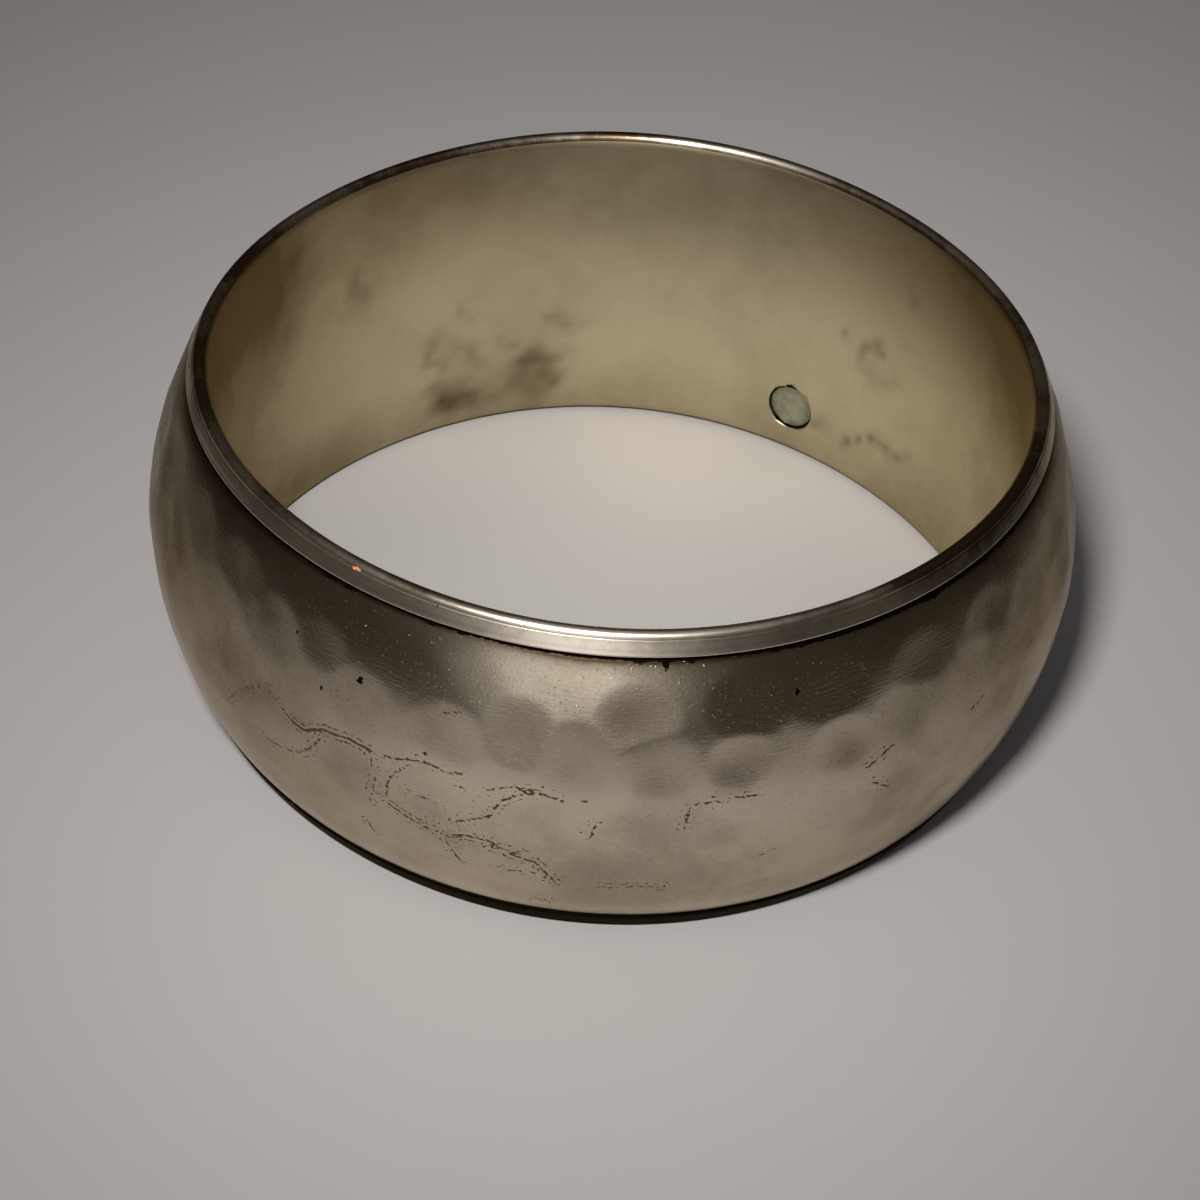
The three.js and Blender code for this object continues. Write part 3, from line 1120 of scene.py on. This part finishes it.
@dataclass(frozen=True)
class BoreAge:
    """Where film lies on the inside wall, as shares from 0, clean, to 1, thickest.

    On the left, part of it is painted shade and painted light round the rim's cast shadow.
    """

    everywhere: float = 0.14
    upper_share: float = 0.4
    upper: Fade = Fade(1.0, start=13, full=29)
    upper_right: Fade = Fade(0.22, start=175, full=130)
    foot: Fade = Fade(0.25, start=8, full=0)
    left: Fade = Fade(0.55, start=155, full=95)
    right: Fade = Fade(0.35, start=145, full=90)
    past_front: Fade = Fade(1.0, start=10, full=80)
    shadow_lightened: Streak = Streak(0.22, middle=-121, spread=14)
    shadow_lightened_height: Fade = Fade(1.0, start=14, full=24)
    wander_mm: float = 0.5
    wander_every_mm: float = 1.7

    def marks(self, points: WallPoints) -> np.ndarray:
        """Gives the dried stains, whose edges wander.

        Args:
            points: Points of the inside wall.

        Returns:
            The film that the stains add at each of them.
        """
        form, angle, height = points.form, points.angle, points.height
        arc = np.radians(angle) * form.bore_radius
        # Waves of unlike lengths, so that the wandering does not show as a pattern.
        along, up = arc / self.wander_every_mm, height / self.wander_every_mm
        moved_angle = angle + np.degrees(self.wander_mm / form.bore_radius) * (
            np.sin(2 * up) + np.sin(3.7 * up + arc)
        )
        moved_height = height + self.wander_mm * np.sin(2.3 * along + 0.5 * height)
        moved = replace(points, angle=moved_angle, height=moved_height)
        marks = moved.spots(LINING_SPOTS)
        for trail in LINING_TRAILS:
            reach = Streak(trail.strength, middle=0, spread=trail.spread)
            marks += reach.at(moved.trail_gap(trail))
        return marks

    def film(self, points: WallPoints) -> np.ndarray:
        """Gives the film on the inside wall.

        Args:
            points: Points of the inside wall.

        Returns:
            The film at each of them.
        """
        angle, height = points.angle, points.height
        past_left, past_right = self.past_front.at(-angle), self.past_front.at(angle)
        film = self.everywhere + self.foot.at(height) + self.marks(points)
        film += (self.upper_share + self.upper_right.at(angle) * past_right) * self.upper.at(height)
        # On the left the film is partly real and partly painted shade, and over the rim's cast shadow it
        # is taken off again as painted light, so that the shadow's edge does not show.
        film += self.left.at(-angle) * past_left - self.shadow_lightened.at(angle) * self.shadow_lightened_height.at(height)
        return film + self.right.at(angle) * past_right


@dataclass(frozen=True)
class CollarAge:
    """Where film and crust lie on the collars, as shares from 0, clean, to 1, thickest.

    The crown, the crease, the bead and the seam are at distances from the ring's end, and the
    fields whose names end in out are distances out from the bore. Some of the film, and the
    black round the foot, are painted shade and painted shadow, where noted below.
    """

    polished_off: float = 0.34
    share: float = 0.02
    crown: Fade = Fade(0.6, start=0.4, full=0.15)
    left: Fade = Fade(1.0, start=4, full=22)
    right: Fade = Fade(1.0, start=12, full=34)
    right_share: float = 0.1
    far_left: Fade = Fade(0.35, start=45, full=80)
    far_right: Band = Band(0.75, start=36, full=56, fading=62, gone=84)
    back: Fade = Fade(0.45, start=88, full=115)
    crease: Streak = Streak(0.35, middle=0.47, spread=0.07)
    crease_out: float = 1.0
    bead: Streak = Streak(0.5, middle=1.55, spread=0.1)
    bead_out: float = 1.5
    # The foot's film and its black below are painted shadow, where the ring meets the floor.
    foot: Fade = Fade(1.0, start=4, full=2)
    rubbed_share: float = 0.5
    seam_crust: Fade = Fade(0.75, start=1.62, full=1.7)
    seam_out: float = 0.5
    nick_crust: float = 0.6
    nick_out: float = 0.9
    foot_shadow_paint: Fade = Fade(0.78, start=2.4, full=1.7)
    foot_out: float = 0.8

    def film(self, points: WallPoints) -> np.ndarray:
        """Gives the film on the collars.

        Args:
            points: Points of the collars.

        Returns:
            The film at each of them.
        """
        angle, out, drop = points.angle, points.out, points.drop
        # Away from the front the film gathers on the crown and far round to the right: partly real film,
        # and partly painted shade that dims the key light's highlight along the crown.
        sides = self.left.at(-angle) + self.right.at(angle)
        film = (self.share + self.crown.at(drop)) * sides - self.polished_off
        film += self.far_left.at(-angle) + self.right_share * self.right.at(angle)
        film += self.far_right.at(angle)
        film *= 1 - self.back.at(np.abs(angle))
        # Painted shade: a dark line of film along the crease between the collar's two faces.
        film += self.crease.at(drop) * (out > self.crease_out)
        film -= self.bead.at(drop) * (out > self.bead_out)
        # Painted shadow: the film darkens the lower collar along the floor.
        film += self.foot.at(points.height)
        return film - self.rubbed_share * points.spots(COLLAR_RUBBED)

    def crust(self, points: WallPoints) -> np.ndarray:
        """Gives the black crust in the seam and in the nick, and the black painted shadow round the
        foot.

        Args:
            points: Points of the collars.

        Returns:
            The crust at each of them.
        """
        out = points.out
        return np.maximum.reduce([
            self.seam_crust.at(points.drop) * (out > self.seam_out),
            self.nick_crust * points.spots([COLLAR_NICK]) * (out > self.nick_out),
            # Painted shadow: black round the foot, along the floor.
            self.foot_shadow_paint.at(points.height) * (out > self.foot_out),
        ])


# ---- the pieces
@dataclass
class HammeredShell:
    """The domed outer shell, with every hammer blow in its surface.

    The ripples are the slight unevenness that planishing leaves between the blows.
    """

    form: RingForm
    age: ShellAge = ShellAge()
    turns: int = 880
    dome_steps: int = 94
    wall_depth: float = 0.84
    edge_bevel: float = 0.2
    inside_places: tuple[float, ...] = (0.97, 0.75, 0.4, 0.0, -0.4, -0.75, -0.97)
    ripple_depth: float = 0.006
    ripple_margin: float = 2.0
    ripples: tuple[Wave, ...] = (
        Wave(19, 0.55), Wave(31, -0.8, start=1.3), Wave(47, 1.1, start=2.1), Wave(-12, 1.35, size=0.8)
    )

    def build(self) -> Object:
        """Makes the shell as a closed C-shaped wall.

        Returns:
            The shell.
        """
        form = self.form
        outside = np.sin(np.pi * (np.linspace(0, 1, self.dome_steps) - 0.5))
        inside = np.array(self.inside_places)
        inside_radius = np.maximum(
            form.dome_radius(inside) - self.wall_depth, form.bore_radius + form.sheet + form.clearance
        )
        profile = np.array([
            np.concatenate([form.dome_radius(outside), inside_radius]),
            form.middle + np.concatenate([
                form.dome_half * outside, (form.dome_half - self.edge_bevel) * inside,
            ]),
        ])
        angle, height = np.meshgrid(np.arange(self.turns) * 360 / self.turns, profile[1])
        radius = profile[0][:, None] * form.roundness(angle)
        shown = slice(1, self.dome_steps - 1)
        even = ease(form.edge_gap(height[shown]), 0.0, self.ripple_margin)
        radius[shown] -= form.dent_depth(angle[shown], height[shown])
        for ripple in self.ripples:
            radius[shown] += self.ripple_depth * ripple.at(angle[shown], height[shown]) * even
        mesh = ring_mesh("shell_hammered", profile, angle, height, radius, form.bulge_radius)
        return add_piece("shell_hammered", mesh)

    def dress(self, shell: Object) -> None:
        """Paints the shell's age on it and gives it its finish.

        Args:
            shell: The shell.
        """
        points = WallPoints.of_mesh(self.form, shell.data)
        laid = [
            (trail, turned, share)
            for turned, share in ((0.0, 1.0), *TRAIL_REPEATS) for trail in SHELL_TRAILS
        ]
        strand_gap, strand_strength = points.strands(laid)
        paint(shell.data, {
            Mark.FILM: self.age.film(points),
            Mark.STAIN: TRAIL_SCATTER.at(strand_gap),
            Mark.CRUST: self.age.crust(points),
            Mark.STRAND_GAP: strand_gap - STRAND_SHIFT_MM,
            Mark.STRAND_STRENGTH: strand_strength,
        })
        shell.data.materials.append(HAMMERED_SILVER.make())


@dataclass
class LiningSleeve:
    """The straight lining and its two rolled collars, with the vent hole through it.

    A collar's places are out from the bore and down from the ring's end, and its crease's steps
    are along its face, with the share of the crease's depth at each. In the hole, crust and
    painted shade lie all over the wall up to hole_end, and darker past deep_from, both out from
    the bore. The collars' finish goes on from finish_out, and as far down as finish_drop.
    """

    form: RingForm
    bore_age: BoreAge = BoreAge()
    collar_age: CollarAge = CollarAge()
    turns: int = 720
    bore_steps: int = 30
    bore_margin: float = 1.5
    vent: Spot = Spot(angle=151.5, height=4.75, radius=2.2)
    vent_facets: int = 96
    drill_length: float = 4.0
    wave_depth: float = 0.03
    waves: tuple[Wave, ...] = (Wave(7, 0.2), Wave(17, -0.3, start=1.0))
    mouth: float = 1.15
    crown_from: float = 0.6
    crown_to: float = 0.7
    crown_radius: float = 0.55
    face_slope: float = 64.0
    arc_steps: int = 9
    crease_out: float = 0.06
    crease_depth: float = 0.022
    bead_out: float = 1.58
    bead_drop: float = 1.54
    bead_radius: float = 0.16
    bead_arc: tuple[float, float] = (-50, 110)
    bead_steps: int = 8
    face_length: float = 0.96
    face_shares: tuple[float, ...] = (0.33, 0.67, 1.0)
    crease_steps: tuple[tuple[float, float], ...] = ((0, 0), (0.05, 1), (0.08, 1), (0.13, 0), (0.2, 0))
    under_places: tuple[tuple[float, float], ...] = ((1.4, 1.74), (1.2, 1.8), (0.7, 2.4))
    bore_edge: Fade = Fade(1.0, start=0.3, full=0.1)
    rim_crust_and_shade: Streak = Streak(0.35, middle=0, spread=0.2)
    hole_crust_and_shade: float = 0.52
    hole_end: float = 0.75
    hole_gap: float = 0.08
    deep_crust_and_shade: float = 0.48
    deep_from: float = 0.1
    copper_half: float = 0.2
    finish_out: float = 0.12
    finish_drop: float = 2.0

    def collar_profile(self) -> np.ndarray:
        """Draws one rolled collar, from the bore over its crown to the back of the wall.

        Returns:
            For each point, how far it is out from the bore and down from the crown.
        """
        rise = np.radians(np.linspace(0, 90, self.arc_steps))
        inner = np.stack([
            self.crown_from * (1 - np.cos(rise)), self.mouth * (1 - np.sin(rise)),
        ], axis=1)
        turn = np.radians(np.linspace(0, self.face_slope, self.arc_steps))
        outer = np.stack([
            self.crown_to + self.crown_radius * np.sin(turn), self.crown_radius * (1 - np.cos(turn)),
        ], axis=1)
        slope = math.radians(self.face_slope)
        along = np.array([math.cos(slope), math.sin(slope)])
        across = np.array([-math.sin(slope), math.cos(slope)])
        crease = [
            outer[-1] + (self.crease_out + step) * along + share * self.crease_depth * across
            for step, share in self.crease_steps
        ]
        face_end = outer[-1] + self.face_length * along
        face = [crease[-1] + share * (face_end - crease[-1]) for share in self.face_shares]
        bulge = np.radians(np.linspace(*self.bead_arc, self.bead_steps))
        bead = np.stack([
            self.bead_out + self.bead_radius * np.cos(bulge),
            self.bead_drop + self.bead_radius * np.sin(bulge),
        ], axis=1)
        return np.array([*inner, *outer, *crease, *face, *bead, *self.under_places])

    def build(self) -> Object:
        """Makes the lining and drills the vent hole.

        Returns:
            The lining.
        """
        form = self.form
        collar = self.collar_profile()
        bore = np.linspace(form.height - self.bore_margin, self.bore_margin, self.bore_steps)
        profile = np.array([
            form.bore_radius + np.concatenate([collar[:, 0], collar[::-1, 0], 0 * bore]),
            np.concatenate([collar[:, 1], form.height - collar[::-1, 1], bore]),
        ])
        angle, height = np.meshgrid(np.arange(self.turns) * 360 / self.turns, profile[1])
        radius = profile[0][:, None] * form.roundness(angle)
        within = slice(-self.bore_steps, None)
        bore_share = (bore - self.bore_margin) / (form.height - 2 * self.bore_margin)
        even = np.sin(np.pi * bore_share)[:, None] ** 2
        for wave in self.waves:
            radius[within] += self.wave_depth * wave.at(angle[within], height[within]) * even
        mesh = ring_mesh("lining_sleeve_worn", profile, angle, height, radius, form.bore_radius)
        lining = add_piece("lining_sleeve_worn", mesh, crease=50)
        self.drill_vent(lining)
        return lining

    def vent_place(self, outwards: float) -> Matrix:
        """Gives the place of something on the vent's axis, whose +Z points out through the wall.

        Args:
            outwards: How far out of the middle of the wall it lies.

        Returns:
            Its matrix, in metres.
        """
        form = self.form
        angle = math.radians(self.vent.angle)
        radius = form.bore_radius * float(form.roundness(np.array(self.vent.angle)))
        radius += form.sheet / 2 + outwards
        outward = Vector((math.sin(angle), -math.cos(angle), 0))
        spot = outward * radius * MM + Vector((0, 0, self.vent.height * MM))
        return Matrix.Translation(spot) @ outward.to_track_quat("Z", "Y").to_matrix().to_4x4()

    def drill_vent(self, lining: Object) -> None:
        """Cuts the vent hole through the wall.

        Args:
            lining: The lining.
        """
        bpy.ops.mesh.primitive_cylinder_add(
            vertices=self.vent_facets, radius=self.vent.radius * MM, depth=self.drill_length * MM
        )
        drill = bpy.context.object
        drill.matrix_world = self.vent_place(0.0)
        cut = lining.modifiers.new("vent", "BOOLEAN")
        cut.operation = "DIFFERENCE"
        cut.object = drill
        bpy.context.view_layer.update()
        with bpy.context.temp_override(object=lining, active_object=lining):
            bpy.ops.object.modifier_apply(modifier=cut.name)
        bpy.data.objects.remove(drill)

    def dress(self, lining: Object) -> None:
        """Paints the lining's age on it and gives bore and collars their finishes.

        Args:
            lining: The lining.
        """
        points = WallPoints.of_mesh(self.form, lining.data)
        out = points.out
        in_bore = self.bore_edge.at(out)
        film = in_bore * self.bore_age.film(points)
        film += (1 - in_bore) * self.collar_age.film(points)
        vent_gap = points.away(self.vent) - self.vent.radius
        in_hole = (out < self.hole_end) * (np.abs(vent_gap) < self.hole_gap)
        # Round the vent the dark ring on the bore and the dark hole wall are partly dirt and partly
        # painted shade, darker deeper in.
        crust = np.maximum.reduce([
            self.collar_age.crust(points),
            self.rim_crust_and_shade.at(vent_gap) * in_bore,
            (self.hole_crust_and_shade + self.deep_crust_and_shade * (out > self.deep_from)) * in_hole,
        ])
        copper_gap, copper = points.strands([(COLLAR_COPPER, 0.0, 1.0)])
        near = np.abs(copper_gap) < self.copper_half
        paint(lining.data, {
            Mark.FILM: film,
            Mark.STAIN: np.zeros_like(out),
            Mark.CRUST: crust,
            Mark.STRAND_GAP: copper_gap - STRAND_SHIFT_MM,
            Mark.STRAND_STRENGTH: copper * (1 - in_bore) * near,
        })
        self.finish(lining.data, (out > self.finish_out) & (points.drop < self.finish_drop))

    def finish(self, mesh: Mesh, on_collar: np.ndarray) -> None:
        """Gives the bore and the collars their finishes.

        Args:
            mesh: The lining's mesh.
            on_collar: For each vertex, whether it is on a collar.
        """
        mesh.materials.append(LINING_SILVER.make())
        mesh.materials.append(BURNISHED_SILVER.make())
        vertex = np.zeros(len(mesh.loops), dtype=np.int32)
        mesh.loops.foreach_get("vertex_index", vertex)
        first = np.zeros(len(mesh.polygons), dtype=np.int32)
        mesh.polygons.foreach_get("loop_start", first)
        mesh.polygons.foreach_set("material_index", on_collar[vertex[first]].astype(np.int32))


@dataclass
class VentPlug:
    """The small disc of solder that closes the vent hole.

    Its face's first and last rings and the inner ring of its back are shares of its radius, and
    its rim's places are in from its edge and back from its face. The face is uneven with a few
    high places round it, which twist by so many radians for each millimetre outwards.
    """

    lining: LiningSleeve
    setback: float = 0.1
    clearance: float = 0.1
    crown: float = 0.05
    unevenness: float = 0.02
    high_places: int = 3
    twist: float = 4.0
    facets: int = 96
    rings: int = 14
    face_places: tuple[float, float] = (0.04, 0.86)
    rim_places: tuple[tuple[float, float], ...] = ((0.06, 0.12), (0.0, 0.32))
    back_ring: float = 0.5
    rim_film_and_shade: Fade = Fade(0.6, start=0.5, full=1)
    rim_crust_and_shade: Fade = Fade(0.6, start=0.9, full=1)

    @property
    def radius(self) -> float:
        """The disc's radius."""
        return self.lining.vent.radius - self.clearance

    def build(self) -> Object:
        """Makes the disc, a little uneven on its face.

        Returns:
            The plug.
        """
        radius = self.radius
        half = (self.lining.form.sheet - self.setback) / 2
        share = np.linspace(*self.face_places, self.rings)
        face = np.stack([radius * share, self.crown * share ** 2 - half], axis=1)
        rim = [(radius - inwards, back - half) for inwards, back in self.rim_places]
        profile = np.array([*face, *rim, (radius, half), (self.back_ring * radius, half)])
        across, along = profile[:, :1], profile[:, 1:]
        turn = np.arange(self.facets) * 2 * np.pi / self.facets
        on_face = np.arange(len(profile))[:, None] < self.rings
        wave = np.sin(self.high_places * turn + self.twist * across)
        uneven = self.unevenness * wave * (across / radius) * on_face
        spots = np.stack([across * np.cos(turn), across * np.sin(turn), along + uneven], axis=-1)
        spots = spots.reshape(-1, 3)
        face_cap = list(range(self.facets))[::-1]
        back_cap = list(range(len(spots) - self.facets, len(spots)))
        wall = ring_faces(len(profile), self.facets, closed=False)[:, ::-1].tolist()
        mesh = bpy.data.meshes.new("vent_plug_soldered")
        mesh.from_pydata((spots * MM).tolist(), [], [face_cap, *wall, back_cap])
        vertex = np.zeros(len(mesh.loops), dtype=np.int32)
        mesh.loops.foreach_get("vertex_index", vertex)
        layer = mesh.uv_layers.new(name=SHEET_MAP)
        layer.uv.foreach_set("vector", spots[vertex, :2].astype(np.float32).ravel())
        mesh.transform(self.lining.vent_place(self.setback / 2))
        return add_piece("vent_plug_soldered", mesh)

    def dress(self, plug: Object) -> None:
        """Paints a dark rim on the plug and gives it its finish.

        Args:
            plug: The plug.
        """
        points = WallPoints.of_mesh(self.lining.form, plug.data)
        share = points.away(self.lining.vent) / self.radius
        # The dark rim is partly dirt and partly painted shade for the gap round the plug.
        paint(plug.data, {
            Mark.FILM: self.rim_film_and_shade.at(share),
            Mark.STAIN: np.zeros_like(share),
            Mark.CRUST: self.rim_crust_and_shade.at(share),
        })
        plug.data.materials.append(SOLDER_SILVER.make())


# ---- the set
@dataclass
class Studio:
    """A plain pale floor, a soft key light, an even room and the glowing dark cloths round the set."""

    floor_colour: str = "#918E8E"
    floor_half: float = 3000.0
    floor_roughness: float = 0.9
    floor_specular: float = 0.15
    room_colour: str = "#FFFDFA"
    room_strength: float = 0.21
    key_colour: str = "#FFFDF8"
    key_place: tuple[float, float, float] = (-38.0, -175.0, 240.0)
    key_aim: tuple[float, float, float] = (6.0, 20.0, 0.0)
    key_size: float = 46.0
    key_watts: float = 0.1465
    key_spread: float = 56.0
    cloth_radius: float = 125.0
    cloth_height: float = 260.0
    cloth_turns: int = 180
    cloth_steps: int = 40
    cloth_colour: str = "#342D24"
    card_colour: str = "#F2F0EC"
    card_strength: float = 1.3
    card_angle: float = -6.0
    card_half_angle: float = 16.0
    card_height: float = 44.0
    card_above: float = 26.0
    card_below: float = 37.0

    def build_floor(self) -> Object:
        """Makes the floor.

        Returns:
            The floor.
        """
        half = self.floor_half * MM
        mesh = bpy.data.meshes.new("floor")
        mesh.from_pydata(
            [(-half, -half, 0), (half, -half, 0), (half, half, 0), (-half, half, 0)], [], [(0, 1, 2, 3)]
        )
        floor = add_object("floor", mesh)
        material = bpy.data.materials.new("matt_paper_pale")
        material.use_nodes = True
        shader = material.node_tree.nodes["Principled BSDF"]
        shader.inputs["Base Color"].default_value = linear(self.floor_colour)
        shader.inputs["Roughness"].default_value = self.floor_roughness
        shader.inputs["Specular IOR Level"].default_value = self.floor_specular
        mesh.materials.append(material)
        return floor

    def build_cloths(self) -> Object:
        """Hangs a round of dark cloth, with a pale card at the front, that only the silver mirrors.

        Neither is lit: cloth and card glow with a fixed brightness, as painted light.

        Returns:
            The round of cloth.
        """
        angle, height = np.meshgrid(
            np.arange(self.cloth_turns) * 360 / self.cloth_turns,
            np.linspace(0, self.cloth_height, self.cloth_steps),
        )
        faces = ring_faces(self.cloth_steps, self.cloth_turns, closed=False)
        mesh = bpy.data.meshes.new("set_cloths")
        mesh.from_pydata(ring_spots(angle, height, self.cloth_radius), [], faces.tolist())
        aside = wrapped(angle - self.card_angle) / self.card_half_angle
        above = (height - self.card_height) / np.where(
            height < self.card_height, self.card_below, self.card_above
        )
        paint(mesh, {Mark.CARD: np.exp(-aside ** 2 - above ** 2).ravel()})
        material = bpy.data.materials.new("felt_and_card_glowing")
        material.use_nodes = True
        tree = material.node_tree
        tree.nodes.clear()
        card = add_node(tree, "Attribute", {}, attribute_name=Mark.CARD.value)
        card_bright = add_node(tree, "VectorMath", {
            0: linear(self.card_colour)[:3], "Scale": self.card_strength,
        }, operation="SCALE")
        shade = add_node(tree, "Mix", {
            Mix.FACTOR: card.outputs["Fac"], Mix.FIRST: linear(self.cloth_colour),
            Mix.SECOND: card_bright,
        }, data_type="RGBA")
        # Cloth and card are not lit: they glow with a fixed brightness, as painted light.
        light = add_node(tree, "Emission", {"Color": shade.outputs[Mix.RESULT.value]})
        add_node(tree, "OutputMaterial", {"Surface": light})
        mesh.materials.append(material)
        cloths = add_object("set_cloths", mesh)
        cloths.visible_camera = False
        cloths.visible_diffuse = False
        cloths.visible_shadow = False
        return cloths

    def build_lights(self) -> None:
        """Sets up the key light and the even light of the room."""
        data = bpy.data.lights.new("key", "AREA")
        data.shape = "DISK"
        data.size = self.key_size * MM
        data.energy = self.key_watts
        data.spread = math.radians(self.key_spread)
        data.color = linear(self.key_colour)[:3]
        key = add_object("key", data)
        key.location = Vector(self.key_place) * MM
        towards = Vector(self.key_aim) * MM - key.location
        key.rotation_euler = towards.to_track_quat("-Z", "Y").to_euler()
        key.visible_camera = False
        world = bpy.data.worlds.new("room")
        world.use_nodes = True
        background = world.node_tree.nodes["Background"]
        background.inputs["Color"].default_value = linear(self.room_colour)
        background.inputs["Strength"].default_value = self.room_strength
        bpy.context.scene.world = world


@dataclass
class FrontCamera:
    """The camera: where it stands, what its middle looks at, its tilt to one side and its lens."""

    place: tuple[float, float, float] = (0.0, -194.55, 168.39)
    aim: tuple[float, float, float] = (-0.6, -5.0, 8.46)
    tilt: float = 3.84
    lens: float = 91.53
    film: float = 36.0

    def build(self) -> Object:
        """Makes the scene's camera.

        Returns:
            The camera.
        """
        data = bpy.data.cameras.new("camera")
        data.lens = self.lens
        data.sensor_width = self.film
        data.clip_start = 0.01
        data.clip_end = 20.0
        camera = add_object("camera", data)
        place, aim = Vector(self.place) * MM, Vector(self.aim) * MM
        level = (aim - place).to_track_quat("-Z", "Y").to_matrix().to_4x4()
        tilt = Matrix.Rotation(math.radians(self.tilt), 4, "Z")
        camera.matrix_world = Matrix.Translation(place) @ level @ tilt
        bpy.context.scene.camera = camera
        return camera


# ---- putting it together
def stand_in(piece: Object, node: str) -> None:
    """Puts a piece in the place of a solid of the frame.

    Args:
        piece: The piece.
        node: The solid's name.
    """
    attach(piece, RING_BODY)
    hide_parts(node)
    log.info("%s stands for %s, with %d faces", piece.name, node, len(piece.data.polygons))


def main() -> None:
    """Builds the bangle's pieces, then the set and the camera."""
    bpy.context.scene.view_settings.view_transform = "Standard"
    form = RingForm(height=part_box("lining_sleeve")[1].z / MM)

    lining = LiningSleeve(form)
    for maker, node, slot in (
        (HammeredShell(form), "hammered_shell", "hammered_silver"),
        (lining, "lining_sleeve", "tarnished_silver"),
        (VentPlug(lining), "vent_plug", "solder_silver"),
    ):
        piece = maker.build()
        maker.dress(piece)
        stand_in(piece, node)

    studio = Studio()
    studio.build_floor()
    studio.build_cloths()
    studio.build_lights()
    camera = FrontCamera().build()
    log.info("%s looks at the front of the ring", camera.name)


if __name__ == "__main__":
    main()
